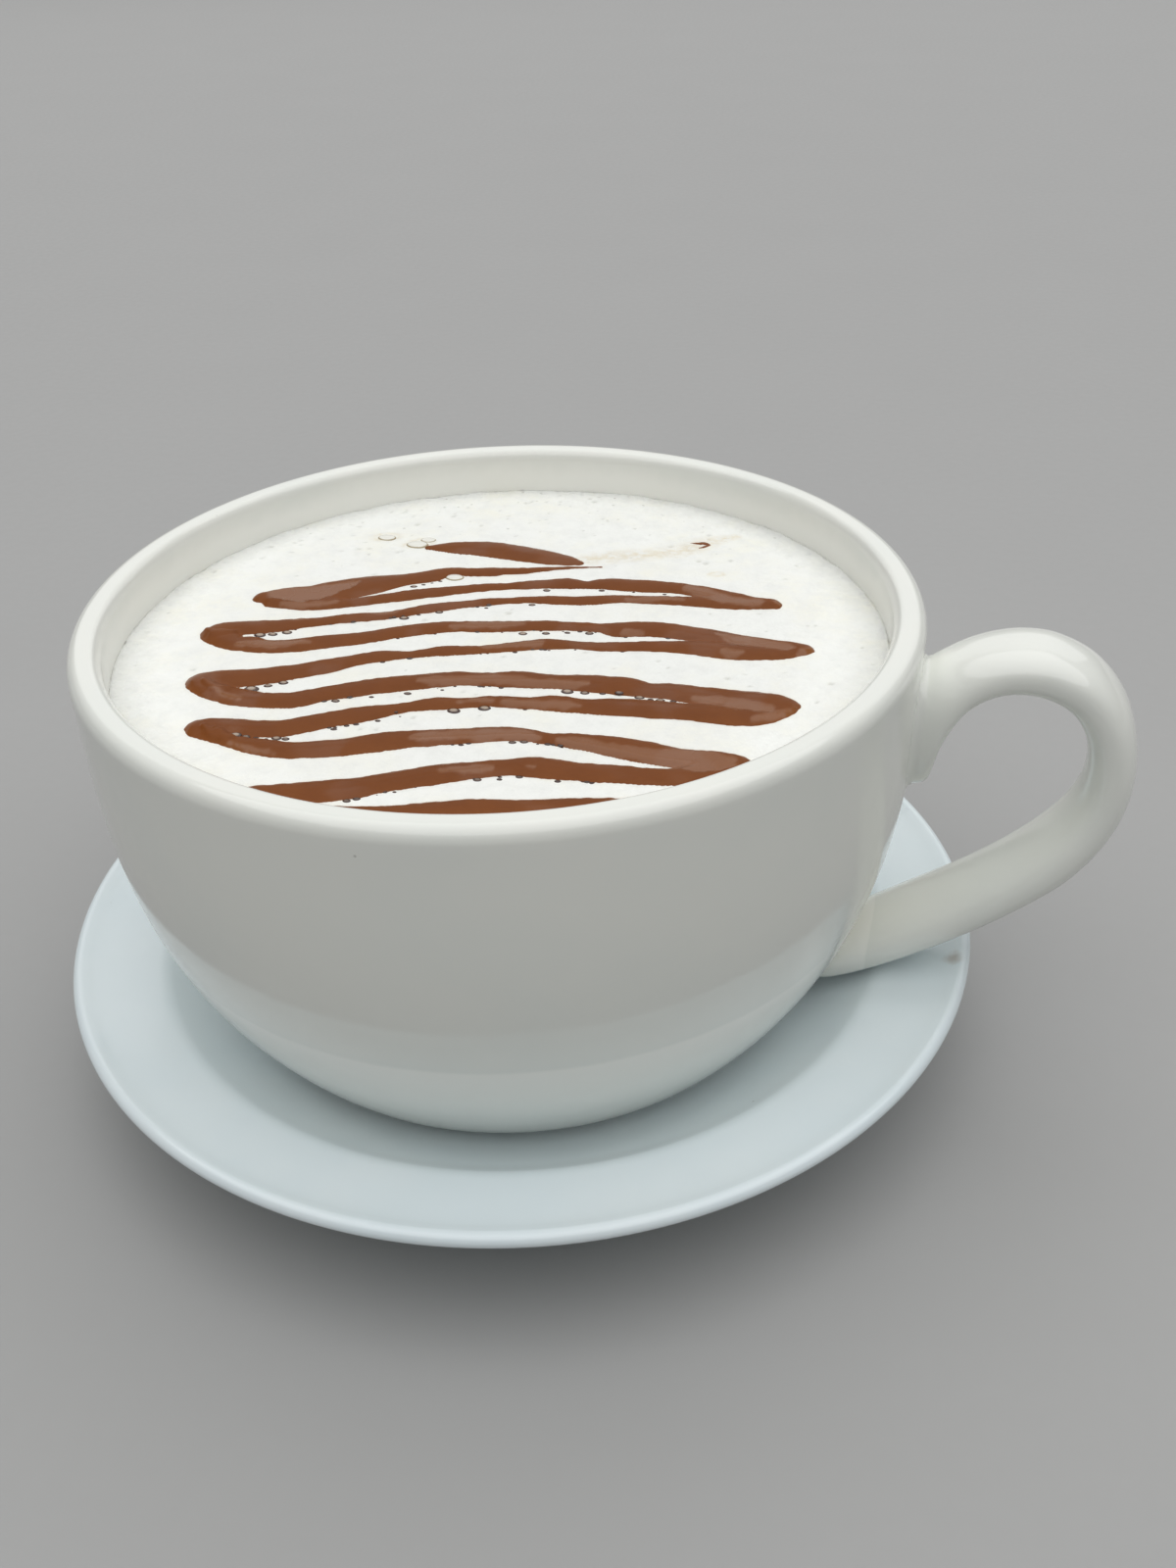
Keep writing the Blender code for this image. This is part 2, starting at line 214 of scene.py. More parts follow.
# Where the sauce lies wet and shines, and where a painted sheen lightens its colour: strokes of along, away,
# half width
WET_AND_SHEEN_STROKES = (
    ((29.4, 10.9, 1.0), (31.3, 9.4, 1.3), (33.3, 7.1, 1.3), (35.9, 5.5, 1.2), (38.9, 4.6, 1.1)),
    ((19.4, 8.5, 0.5), (25.0, 7.9, 0.7), (27.9, 6.9, 0.4)),
    ((42.0, 4.6, 0.5), (42.5, 5.1, 0.5)),
    ((31.2, -5.1, 0.4), (33.9, -7.1, 1.1), (36.0, -7.9, 1.25), (38.3, -9.0, 1.25), (40.7, -10.2, 1.1)),
    ((31.6, -10.5, 0.6), (32.8, -10.7, 0.9), (34.0, -10.9, 0.6)),
    ((42.0, -12.2, 0.3), (43.5, -11.5, 0.7), (44.4, -10.4, 0.4)),
    ((18.0, -2.3, 0.4), (19.2, -2.7, 0.6), (20.5, -2.9, 0.4)),
    ((25.6, -22.9, 0.5), (27.9, -24.2, 1.1), (30.3, -25.3, 1.3), (33.0, -26.3, 1.35), (34.6, -26.8, 1.2)),
    ((32.4, -29.3, 0.5), (35.4, -28.7, 0.8), (37.4, -27.9, 0.6), (38.6, -26.8, 0.3)),
    ((6.5, -31.5, 0.4), (8.4, -32.5, 0.9), (10.1, -33.5, 1.1), (12.7, -34.6, 0.9), (14.7, -35.7, 1.0),
     (16.9, -36.5, 1.2), (18.9, -37.6, 1.5), (21.0, -38.1, 2.2), (23.6, -38.8, 2.6), (25.4, -39.2, 2.3),
     (26.8, -39.4, 1.7)),
    ((-34.1, 17.8, 2.2), (-31.4, 16.8, 2.5), (-28.2, 17.3, 2.3), (-25.6, 18.7, 1.8), (-23.0, 19.8, 1.0)),
    ((-33.8, 14.1, 0.4), (-30.2, 13.2, 0.7), (-25.3, 13.3, 0.4)),
    ((-38.9, 1.2, 0.6), (-36.4, 0.8, 0.9), (-33.5, 0.2, 1.0), (-31.3, 0.2, 0.9), (-28.5, 0.1, 0.5)),
    ((-33.3, 8.8, 0.3), (-30.9, 8.2, 0.5), (-29.1, 8.4, 0.3)),
    ((-25.0, 9.9, 0.4), (-20.7, 9.7, 0.5), (-17.7, 8.7, 0.5), (-15.2, 9.7, 0.6), (-12.9, 10.6, 0.4)),
    ((-21.1, -11.7, 0.3), (-18.4, -11.4, 0.6), (-14.5, -11.3, 0.7), (-10.4, -11.6, 0.4)),
    ((-36.8, -26.7, 0.3), (-33.5, -28.8, 0.4), (-30.4, -30.3, 0.3)),
    ((-40.7, -12.0, 0.3), (-38.7, -14.1, 0.35), (-37.0, -15.2, 0.3)),
    ((9.5, 11.0, 0.3), (13.1, 11.0, 0.4), (16.6, 10.6, 0.4), (21.1, 10.1, 0.3)),
    ((-7.4, 2.7, 0.4), (-5.0, 2.6, 0.75), (-2.5, 2.5, 0.85), (0.4, 2.4, 0.8), (3.2, 2.0, 0.4)),
    ((-4.8, -3.8, 0.4), (-2.6, -3.9, 0.65), (-0.1, -4.1, 0.75), (3.1, -4.1, 0.75), (5.5, -4.3, 0.5)),
    ((-12.0, -13.6, 0.5), (-9.7, -13.7, 0.8), (-6.3, -13.8, 0.95), (-1.6, -14.1, 0.95), (2.0, -15.1, 0.9),
     (5.5, -16.2, 0.8), (8.7, -17.0, 0.8), (11.3, -17.4, 0.5)),
    ((-15.2, -11.3, 0.3), (-11.1, -10.9, 0.35), (-7.6, -11.1, 0.3)),
    ((-6.3, -20.1, 0.4), (-4.0, -19.8, 0.6), (-2.2, -20.1, 0.4)),
    ((-0.2, -20.7, 0.4), (3.7, -21.7, 0.6), (7.7, -22.6, 0.65), (9.9, -23.2, 0.4)),
    ((-12.7, -29.0, 0.4), (-10.8, -28.8, 0.8), (-6.4, -28.7, 1.0), (-1.9, -29.1, 1.0), (1.4, -29.7, 0.95),
     (3.8, -30.7, 0.5)),
    ((-8.8, -37.7, 0.4), (-6.6, -37.7, 0.7), (-4.7, -37.6, 0.7), (-2.6, -37.6, 0.4)),
    ((2.3, -37.8, 0.35), (3.0, -38.0, 0.4)),
    ((-11.2, -44.1, 0.25), (-5.1, -43.8, 0.3), (4.5, -44.6, 0.3)),
)

# Rows of bubbles beside the lines: first and last place (along, away), how many, largest radius
BUBBLE_ROWS = (
    ((-36.2, 4.6), (-32.2, 4.8), 3, 0.72),
    ((-35.5, -11.8), (-31.2, -10.8), 3, 0.85),
    ((-35.9, -24.9), (-29.4, -26.0), 6, 0.62),
    ((-13.4, 18.0), (-9.2, 19.5), 4, 0.48),
    ((-7.2, 20.8), (-7.1, 20.9), 1, 1.15),
    ((-13.4, 34.6), (-13.3, 34.6), 1, 1.45),
    ((-11.4, 36.2), (-11.3, 36.2), 1, 1.02),
    ((-18.6, 38.4), (-18.5, 38.4), 1, 1.2),
    ((7.3, 13.7), (7.9, 13.6), 1, 0.5),
    ((15.9, 12.6), (25.4, 10.2), 3, 0.42),
    ((-9.4, 8.5), (5.0, 9.2), 3, 0.5),
    ((-14.8, 7.5), (-14.6, 7.5), 1, 0.62),
    ((3.1, -0.1), (12.9, -1.2), 4, 0.55),
    ((8.5, -18.2), (15.6, -20.0), 4, 0.7),
    ((18.2, -21.2), (22.4, -22.6), 4, 0.55),
    ((-23.4, -17.1), (-8.8, -15.4), 4, 0.5),
    ((-23.2, -24.4), (-14.5, -22.0), 4, 0.4),
    ((-7.3, -21.4), (-3.1, -21.2), 2, 0.72),
    ((0.4, -30.9), (2.2, -31.0), 2, 0.45),
    ((-20.6, -42.0), (-19.2, -41.7), 2, 0.42),
    ((-4.1, -39.4), (1.2, -39.3), 3, 0.45),
)

# Lines whose near edge is beaded with small bubbles: name, from where and to where along the line
BEADED_EDGES = (
    ("second line", -32.0, 8.0),
    ("third line", -18.0, 26.0),
    ("fourth line", -28.0, 18.0),
    ("fifth line", -26.0, 14.0),
    ("sixth line", -26.0, 8.0),
    ("seventh line", -12.0, 8.0),
    ("eighth line", -24.0, 12.0),
)

# Where thin sauce has soaked into the foam: along, away, half width
STAINS = (
    (12.6, 24.2, 2.2), (17.0, 24.8, 3.4), (21.0, 24.9, 3.0), (25.0, 25.2, 2.8), (29.0, 26.0, 3.2),
    (31.8, 27.2, 3.4), (34.0, 28.6, 3.2), (37.4, 30.0, 2.0), (40.0, 30.8, 1.2),
)
STAIN_RINGS = ((-18.6, 38.6, 1.5), (-13.2, 35.0, 1.6), (-12.2, 36.6, 0.9), (34.5, 16.4, 0.8))

# Specks of dust in the cup's glaze: along, away from the cup's axis, height above its foot, size
SPECKS = ((43.3, 35.2, 65.0, 0.32), (44.9, -34.6, 64.9, 0.34), (-58.9, -5.0, 65.6, 0.26))

# The smudge on the saucer's rim: place from the saucer's axis on the table, and size
SMUDGE = (70.0, -3.0, 19.4, 2.2)

# Milk left on the wall over the foam, painted paler than the glaze partly as painted light for the light that
# the foam throws on the inner wall: its colour, the heights over the foam's edge between which it fades out,
# and how far past the lip's inner edge it may reach
MILK_FILM_AND_PAINTED_LIGHT = (0.955, 0.955, 0.90)
FILM_AND_PAINTED_LIGHT_LOW = 2.5
FILM_AND_PAINTED_LIGHT_HIGH = 6.5
FILM_AND_PAINTED_LIGHT_REACH = 1.3

PINHOLE_GREY = (0.34, 0.33, 0.30)
SPECK_GREY = (0.25, 0.24, 0.21)
SMUDGE_BROWN = (0.42, 0.33, 0.25)

# Bubbles and sauce, in millimetres and as shares
BUBBLE_RISE = 0.30           # height of a bubble's dome, as a share of its radius
BUBBLE_LENGTH = 1.35         # bubbles are drawn out along the lines
CLEAR_BUBBLE = 1.0           # radius over which it is clear
SMALL_BUBBLE = 0.70          # radius under which a bubble is dark in its middle too
BUBBLE_RINGS = (0.0, 18.0, 38.0, 62.0)   # degrees up its dome
BUBBLE_AROUND = 16
BUBBLE_SINK = 0.04           # how far a dome's edge lies under the surface
BUBBLE_FLOOR = 0.12          # and the middle of its underside

POUR_HALF = 52.0             # half of the square that the sauce is worked out on
POUR_STEP = 0.28
LINE_BLEND = 0.6             # how softly lines run into one another
WET_LEVEL = 0.60             # share of the thickness over which wet sauce levels itself out
DRAW_SPACING = 0.3           # between the drops that a line is laid down with
SKIN_END = -0.30             # height over the foam at which the sauce's skin ends, out of sight
SKIN_FLOOR = 0.62            # depth of the sauce's underside in the foam
UNDER = -2.0                 # height where there is no sauce

# The foam, in millimetres
DIMPLED_BEYOND = 40.0        # lines that turn back this far out leave a dimple in the foam
DIMPLE_DEPTH = 0.22
WALL_GAP = 0.01              # between the foam's edge and the cup's wall
FLOOR_GAP = 0.05             # and between the drink and the cup's floor
PRESSED = 0.12               # how far the sauce presses the foam down
PUCKERED = 0.13              # height of the puckers beside the wall
CLIMBING = (0.34, 0.16)      # how far the foam climbs the wall, and how much that varies
PIT_DEPTH = 0.55             # of its radius
DEEPEST_PIT = 0.5
FOAM_SIDE = (56.0, 20.0, 7)  # rings down the foam's side: first and last height, and how many
FOAM_GRID = 291
RNG_SEED = 7

# The stage, in metres and degrees
LIT_HEIGHT = 0.06            # height over the table that the lights are turned to
OVERHEAD_PLACE = (0.06, -0.10, 1.0)   # it gives the overhead light its direction only
PANEL_PLACE = (-0.30, 1.86, 1.24)
PANEL_SIZE = (3.6, 1.2)
FLOOR_HALF = 3.0
CAMERA_PLACE = (0.05128, -0.18598, 0.16810)
CAMERA_HEADING = 14.693      # to the left of the far side
CAMERA_DOWN = 33.164
CAMERA_ROLL = -1.914
SENSOR_HEIGHT = 36.0         # in millimetres, as the lens is
LENS = 33.725


# Settings that a user would change

def length(name, description, default, **more):
    """A length in metres."""
    return bpy.props.FloatProperty(
        name=name, description=description, default=default, min=0.0, unit="LENGTH", precision=4, **more)


def colour(name, description, default):
    """A colour without alpha."""
    return bpy.props.FloatVectorProperty(
        name=name, description=description, default=default, size=3, min=0.0, max=1.0, subtype="COLOR")


class LatteCupSettings(bpy.types.PropertyGroup):
    rim_radius: length(
        "Rim radius", "Outside of the rim, from the cup's axis", (CUP_HIGH[1] - CUP_LOW[1]) / 2.0)
    height: length("Height", "From the cup's foot to the top of the lip", CUP_HIGH[2] - CUP_LOW[2])
    wall: length("Wall", "Thickness of the wall at the level of the drink", 4.6 * MM)
    lip_width: length("Lip width", "Across the broad rounded lip", 4.6 * MM)
    drink_level: length("Drink level", "Edge of the foam above the cup's foot", 59.8 * MM)
    glaze: colour("Glaze", "Colour of the cup's glaze", (0.87, 0.88, 0.825))
    bare_clay: colour("Bare clay", "Colour of the unglazed foot", (0.62, 0.57, 0.48))


class LatteSaucerSettings(bpy.types.PropertyGroup):
    radius: length("Radius", "Outside of the saucer", (SAUCER_HIGH[1] - SAUCER_LOW[1]) / 2.0)
    edge_height: length("Edge height", "Middle of the rounded edge above the table", 18.5 * MM)
    glaze: colour("Glaze", "Colour of the saucer's glaze", (0.82, 0.90, 0.925))


class LatteFoamSettings(bpy.types.PropertyGroup):
    crown: length("Crown", "How much the foam stands up in the middle", 0.5 * MM)
    pits: bpy.props.IntProperty(name="Pits", description="Small open bubbles in the foam", default=170, min=0)
    milk: colour("Milk", "Colour of the foam", (0.905, 0.915, 0.88))
    shade: colour("Shade", "Colour down in the pits", (0.60, 0.60, 0.55))
    soaked: colour("Soaked", "Colour where thin sauce has soaked in", (0.72, 0.62, 0.42))


class LatteSauceSettings(bpy.types.PropertyGroup):
    thickness: length("Thickness", "Height of a broad line of sauce over the foam", 0.95 * MM)
    chocolate: colour("Chocolate", "Colour of the sauce", (0.176, 0.052, 0.011))
    thin: colour("Thin", "Colour where the sauce is thin", (0.225, 0.074, 0.020))
    # A painted sheen: the lighter colour that wet sauce is painted with
    painted_sheen: colour("Painted sheen", "Colour where the sauce is wet", (0.245, 0.096, 0.034))
    bubble_rim: colour("Bubble rim", "Colour round the rim of a bubble", (0.045, 0.016, 0.008))
    bubble_middle: colour("Bubble middle", "Colour in the middle of a bubble", (0.42, 0.33, 0.25))
    clear_rim: colour("Clear rim", "Colour round the rim of a large clear bubble", (0.40, 0.33, 0.20))
    clear_middle: colour("Clear middle", "Colour in the middle of a large clear bubble", (0.84, 0.83, 0.76))


class LatteStageSettings(bpy.types.PropertyGroup):
    floor: colour("Floor", "Colour of the floor", (0.39, 0.39, 0.385))
    surroundings: colour("Surroundings", "Light from all round", (0.05, 0.0515, 0.053))
    overhead: bpy.props.FloatProperty(
        name="Overhead", description="Light from overhead, in watts on a square metre", default=2.72, min=0.0)
    softness: bpy.props.FloatProperty(
        name="Softness", description="How wide the overhead light is", default=math.radians(96.0), min=0.0,
        max=math.pi, subtype="ANGLE")
    far_power: bpy.props.FloatProperty(
        name="Far power", description="Light of the panel at the far side", default=10.4, min=0.0,
        subtype="POWER")


# Materials

class Signal:
    """A socket of a material's node; sums written with it add Math nodes."""

    def __init__(self, finish, node, output=0):
        self.finish, self.socket = finish, node.outputs[output]

    def _maths(self, operation, first, second):
        return self.finish.node("Math", {"operation": operation}, {0: first, 1: second})

    def __add__(self, other):
        return self._maths("ADD", self, other)

    def __radd__(self, other):
        return self._maths("ADD", other, self)

    def __sub__(self, other):
        return self._maths("SUBTRACT", self, other)

    def __rsub__(self, other):
        return self._maths("SUBTRACT", other, self)

    def __mul__(self, other):
        return self._maths("MULTIPLY", self, other)

    def __rmul__(self, other):
        return self._maths("MULTIPLY", other, self)


class Finish:
    """A material under construction."""

    def __init__(self, name, **steady):
        self.material = bpy.data.materials.new(name)
        self.material.use_nodes = True
        self.tree = self.material.node_tree
        self.shader = self.tree.nodes["Principled BSDF"]
        self.feed(self.shader, {key.replace("_", " ").title().replace("Ior", "IOR"): value
                                for key, value in steady.items()})

    def feed(self, node, inputs):
        for key, value in inputs.items():
            if isinstance(value, Signal):
                self.tree.links.new(value.socket, node.inputs[key])
            elif isinstance(value, tuple) and node.inputs[key].type == "RGBA":
                node.inputs[key].default_value = (*value[:3], 1.0)
            else:
                node.inputs[key].default_value = value

    def node(self, kind, settings=None, inputs=None, output=0):
        """A node of any kind, its settings first and then the values or links of its sockets."""
        made = self.tree.nodes.new("ShaderNode" + kind)
        for key, value in (settings or {}).items():
            setattr(made, key, value)
        self.feed(made, inputs or {})
        return Signal(self, made, output)

    def shine(self, **varying):
        """Feeds the shader with what varies over the surface."""
        self.feed(self.shader, {key.replace("_", " ").title(): value for key, value in varying.items()})

    def places(self, origin=(0.0, 0.0, 0.0)):
        """Millimetres from a place on the object."""
        where = self.node("TexCoord", output="Object")
        moved = self.node("VectorMath", {"operation": "SUBTRACT"}, {0: where, 1: origin})
        return self.node("VectorMath", {"operation": "SCALE"}, {0: moved, "Scale": 1.0 / MM})

    def noise(self, where, size, detail=2.0, roughness=0.5):
        """Soft noise from 0 to 1 with features about so many millimetres across."""
        return self.node("TexNoise", None, {
            "Vector": where, "Scale": 1.0 / size, "Detail": detail, "Roughness": roughness})

    def cells(self, where, size, feature="F1"):
        """Distance to the nearest of scattered points, in shares of the size."""
        return self.node("TexVoronoi", {"feature": feature}, {"Vector": where, "Scale": 1.0 / size})

    def between(self, value, low, high, start=0.0, end=1.0):
        """The value eased from start at low to end at high."""
        return self.node("MapRange", {"interpolation_type": "SMOOTHSTEP"}, {
            "Value": value, "From Min": low, "From Max": high, "To Min": start, "To Max": end})

    def mixed(self, share, first, second):
        """From the first colour to the second."""
        return self.node("Mix", {"data_type": "RGBA"}, {0: share, 6: first, 7: second}, output=2)

    def apart(self, where, place):
        """Millimetres from a place."""
        return self.node("VectorMath", {"operation": "DISTANCE"}, {0: where, 1: place}, output="Value")

    def painted(self, name):
        """A value kept on the mesh."""
        return self.node("Attribute", {"attribute_name": name}, output="Fac")

    def raised(self, height, strength, distance, under=None):
        """Surface relief from a height."""
        inputs = {"Height": height, "Strength": strength, "Distance": distance * MM}
        if under is not None:
            inputs["Normal"] = under
        return self.node("Bump", None, inputs)


def tinted(shade, tone):
    """The colour with each of its parts multiplied by one tone, or by its own."""
    tones = tone if isinstance(tone, tuple) else (tone, tone, tone)
    return tuple(part * share for part, share in zip(shade, tones))


def glaze_finish(name, axis, base, tone, foot_top, bare, specks=(), smudge=None, film_and_painted_light=None):
    """Glossy porcelain glaze with an unglazed foot; milk left on the inner wall, partly painted light that
    lightens the wall over the foam, has its reach and the foam's height.
    """
    finish = Finish(name, ior=1.48, coat_weight=0.10, coat_roughness=0.09)
    where = finish.places((*axis, 0.0))
    height = finish.node("SeparateXYZ", None, {"Vector": where}, output="Z")

    clouds = finish.noise(where, 22.0, 3.0)
    shade = finish.mixed(finish.between(clouds, 0.35, 0.7), base, tinted(base, tone))
    fine = finish.cells(where, 5.0)
    sparse = finish.between(finish.noise(where, 9.0), 0.60, 0.66)
    pinholes = finish.between(fine, 0.028, 0.045, 1.0, 0.0) * sparse
    shade = finish.mixed(pinholes * 0.45, shade, PINHOLE_GREY)
    for *place, size in specks:
        apart = finish.apart(where, tuple(place))
        shade = finish.mixed(finish.between(apart, size * 0.5, size, 0.7, 0.0), shade, SPECK_GREY)
    if smudge is not None:
        *place, size = smudge
        ragged = finish.apart(where, tuple(place)) + (finish.noise(where, 1.6, 3.0) - 0.5) * size
        shade = finish.mixed(finish.between(ragged, 0.0, size, 0.55, 0.0), shade, SMUDGE_BROWN)

    # Milk left on the inner wall over the foam, painted paler partly as painted light for the light that the
    # foam throws back onto the wall
    if film_and_painted_light is not None:
        reach, level = film_and_painted_light
        across = finish.node("VectorMath", {"operation": "MULTIPLY"}, {0: where, 1: (1.0, 1.0, 0.0)})
        across = finish.node("VectorMath", {"operation": "LENGTH"}, {0: across}, output="Value")
        ragged = height + (clouds - 0.5) * 3.0 + (finish.noise(where, 2.5, 3.0) - 0.5) * 1.5
        inside = finish.between(across, reach - 0.3, reach, 1.0, 0.0)
        film_and_painted_light_share = inside * finish.between(ragged, level + FILM_AND_PAINTED_LIGHT_LOW, level + FILM_AND_PAINTED_LIGHT_HIGH, 0.9, 0.0)
        shade = finish.mixed(film_and_painted_light_share, shade, MILK_FILM_AND_PAINTED_LIGHT)

    bared = finish.between(height + (clouds - 0.5) * 0.5, foot_top - 0.15, foot_top + 0.15, 1.0, 0.0)
    grit = finish.noise(where, 0.6, 3.0)
    clay = finish.mixed(grit, tinted(bare, 0.8), bare)
    waves = finish.noise(where, 7.0, 1.0) + finish.noise(where, 1.8, 1.0) * 0.12
    finish.shine(
        base_color=finish.mixed(bared, shade, clay),
        roughness=finish.between(finish.noise(where, 14.0, 4.0), 0.3, 0.75, 0.07, 0.15) + bared * 0.6,
        normal=finish.raised(grit * bared * 0.5, 0.5, 0.25, under=finish.raised(waves, 0.12, 0.3)),
    )
    return finish.material


def foam_finish(settings):
    """Fine milk foam: matt, nearly white, stained beside the sauce, with painted shade beside the cup's wall
    and down in its pits.
    """
    finish = Finish("milk foam", specular_ior_level=0.35)
    where = finish.places()
    pitted = finish.painted("pit")
    soaked = finish.painted("soaked")
    broad = finish.noise(where, 9.0, 4.0, 0.6)
    bubbles = finish.cells(where, 0.62)
    froth = finish.cells(where, 1.7)

    milk = tuple(settings.milk)
    mottled = finish.noise(where, 3.2, 4.0, 0.7)
    shade = finish.mixed(finish.between(broad, 0.40, 0.75), milk, tinted(milk, (1.0, 0.985, 0.93)))
    shade = finish.mixed(finish.between(mottled, 0.40, 0.72) * 0.8, shade, tinted(milk, 0.93))
    # Painted shade: the foam is greyed beside the cup's wall, where the wall shades it, and greyed more in
    # the hollows there; the value named thin carries this shade and also roughens the bump
    thin = finish.painted("thin")
    shade = finish.mixed(thin * 0.06, shade, tinted(milk, (0.76, 0.77, 0.73)))
    shaded_hollows = finish.between(finish.cells(where, 1.5), 0.0, 0.45, 1.0, 0.0)
    shade = finish.mixed(shaded_hollows * thin * 0.22, shade, tinted(milk, 0.66))
    # Painted shade, in the shade colour, down in the fine bubbles, the small open pits towards the far side
    # and the larger pits
    spots = finish.between(finish.cells(where, 2.3), 0.07, 0.16, 1.0, 0.0) * finish.painted("frothy")
    for dark in (finish.between(bubbles, 0.0, 0.22, 0.10, 0.0), spots * 0.8, pitted * 0.75):
        shade = finish.mixed(dark, shade, tuple(settings.shade))
    blotchy = soaked * finish.between(finish.noise(where, 1.3, 4.0, 0.65), 0.25, 0.7)
    shade = finish.mixed(blotchy, shade, tuple(settings.soaked))
    uneven = finish.between(froth, 0.0, 0.5) * (0.4 + thin * 1.6)
    uneven = uneven + finish.noise(where, 1.1, 3.0, 0.6) * (1.2 + thin * 1.6) + broad * 0.8
    finish.shine(
        base_color=shade,
        roughness=finish.between(bubbles, 0.0, 0.7, 0.42, 0.72) - soaked * 0.15,
        normal=finish.raised(
            finish.between(bubbles, 0.0, 0.55), 0.25, 0.06, under=finish.raised(uneven, 0.5, 0.24)),
    )
    return finish.material


def sauce_finish(settings):
    """Chocolate sauce: smooth, redder where it is thin, and glossy only where it lies broad and wet, where a
    painted sheen also lightens its colour.
    """
    finish = Finish("chocolate sauce", ior=1.45, specular_ior_level=0.15, coat_roughness=0.17)
    where = finish.places()
    thin = 1.0 - finish.painted("depth")
    wet = finish.painted("wet")
    mottled = finish.noise(where, 5.0, 3.0)
    broad = finish.noise(where, 8.0, 1.0)
    redder = thin * 0.55 + finish.between(mottled, 0.35, 0.7) * 0.3
    shade = finish.mixed(redder, tuple(settings.chocolate), tuple(settings.thin))
    # Painted sheen: the colour is lightened where the sauce is wet
    shade = finish.mixed(wet * 0.7, shade, tuple(settings.painted_sheen))
    finish.shine(
        base_color=shade,
        roughness=finish.between(mottled, 0.3, 0.7, 0.34, 0.46) - wet * 0.14,
        coat_weight=finish.between(broad, 0.56, 0.68, 0.0, 0.25) + wet * 0.45,
        normal=finish.raised(finish.noise(where, 4.0, 1.0), 0.16, 0.14),
    )
    return finish.material


def bubble_finish(settings):
    """Small bubbles: dark round the rim, pale where the foam shows through."""
    finish = Finish("bubbles", ior=1.4, coat_weight=0.5, coat_roughness=0.06)
    where = finish.places()
    swirl = finish.noise(where, 0.9, 2.0)
    rim = finish.between(finish.painted("rim") + (swirl - 0.5) * 0.3, 0.10, 0.50)
    clear = finish.painted("clear")
    dark = finish.mixed(rim, tuple(settings.bubble_middle), tuple(settings.bubble_rim))
    pale = finish.mixed(rim, tuple(settings.clear_middle), tuple(settings.clear_rim))
    finish.shine(
        base_color=finish.mixed(clear, dark, pale),
        roughness=finish.between(swirl, 0.3, 0.7, 0.10, 0.20),
    )
    return finish.material


def floor_finish(settings):
    """A plain pale table top."""
    finish = Finish("pale floor", specular_ior_level=0.3)
    where = finish.places()
    shade = tuple(settings.floor)
    finish.shine(
        base_color=finish.mixed(finish.noise(where, 60.0, 2.0), shade, tinted(shade, 0.97)),
        roughness=finish.between(finish.noise(where, 3.0, 2.0), 0.3, 0.7, 0.50, 0.58),
    )
    return finish.material


# Shapes

def smooth_line(points, spacing):
    """Points on the smooth curve through the given ones; further columns ease along with it."""
    points = np.asarray(points, float)
    ends = np.vstack([2.0 * points[0] - points[1], points, 2.0 * points[-1] - points[-2]])
    ends[[0, -1], 2:] = points[[0, -1], 2:]
    runs = []
    for before, start, end, after in zip(ends, ends[1:], ends[2:], ends[3:]):
        count = max(2, math.ceil(np.linalg.norm((end - start)[:2]) / spacing))
        t = np.linspace(0.0, 1.0, count, endpoint=False)[:, None]
        runs.append(0.5 * (2.0 * start + (end - before) * t
                           + (2.0 * before - 5.0 * start + 4.0 * end - after) * t ** 2
                           + (3.0 * start - before - 3.0 * end + after) * t ** 3))
    return np.vstack(runs + [points[-1:]])


def rounded(corners, steps=6):
    """A profile through corners of reach, height and how far back along its sides each one is rounded."""
    line = []
    for index, (reach, height, cut) in enumerate(corners):
        here = np.array((reach, height))
        if cut == 0.0 or index in (0, len(corners) - 1):
            line.append(here)
            continue
        back, ahead = (np.array(corners[index + side][:2]) - here for side in (-1, 1))
        start = here + back * min(cut / np.linalg.norm(back), 0.49)
        end = here + ahead * min(cut / np.linalg.norm(ahead), 0.49)
        for share in np.linspace(0.0, 1.0, steps + 1):
            line.append((1.0 - share) ** 2 * start + 2.0 * share * (1.0 - share) * here + share ** 2 * end)
    return [tuple(point) for point in line]


def arc(centre, radius, start, end, steps):
    """Points on an arc of a profile, in degrees from the outward direction."""
    angles = np.radians(np.linspace(start, end, steps + 1))
    return [(centre[0] + radius * math.cos(angle), centre[1] + radius * math.sin(angle))
            for angle in angles]


def ripple(x, y, size, seed):
    """Smooth random heights from -1 to 1, with features of about the given size."""
    lattice = np.random.default_rng(seed).uniform(-1.0, 1.0, (64, 64))
    x, y = x / size + 31.7, y / size + 17.3
    column, row = np.floor(x).astype(int), np.floor(y).astype(int)
    x, y = x - column, y - row
    x, y = x * x * (3.0 - 2.0 * x), y * y * (3.0 - 2.0 * y)

    def corner(right, up):
        return lattice[(column + right) % 64, (row + up) % 64]

    lower = corner(0, 0) * (1.0 - x) + corner(1, 0) * x
    upper = corner(0, 1) * (1.0 - x) + corner(1, 1) * x
    return lower * (1.0 - y) + upper * y


def eased(value, low, high):
    """From 0 at low to 1 at high, level at both."""
    share = np.clip((value - low) / (high - low), 0.0, 1.0)
    return share * share * (3.0 - 2.0 * share)


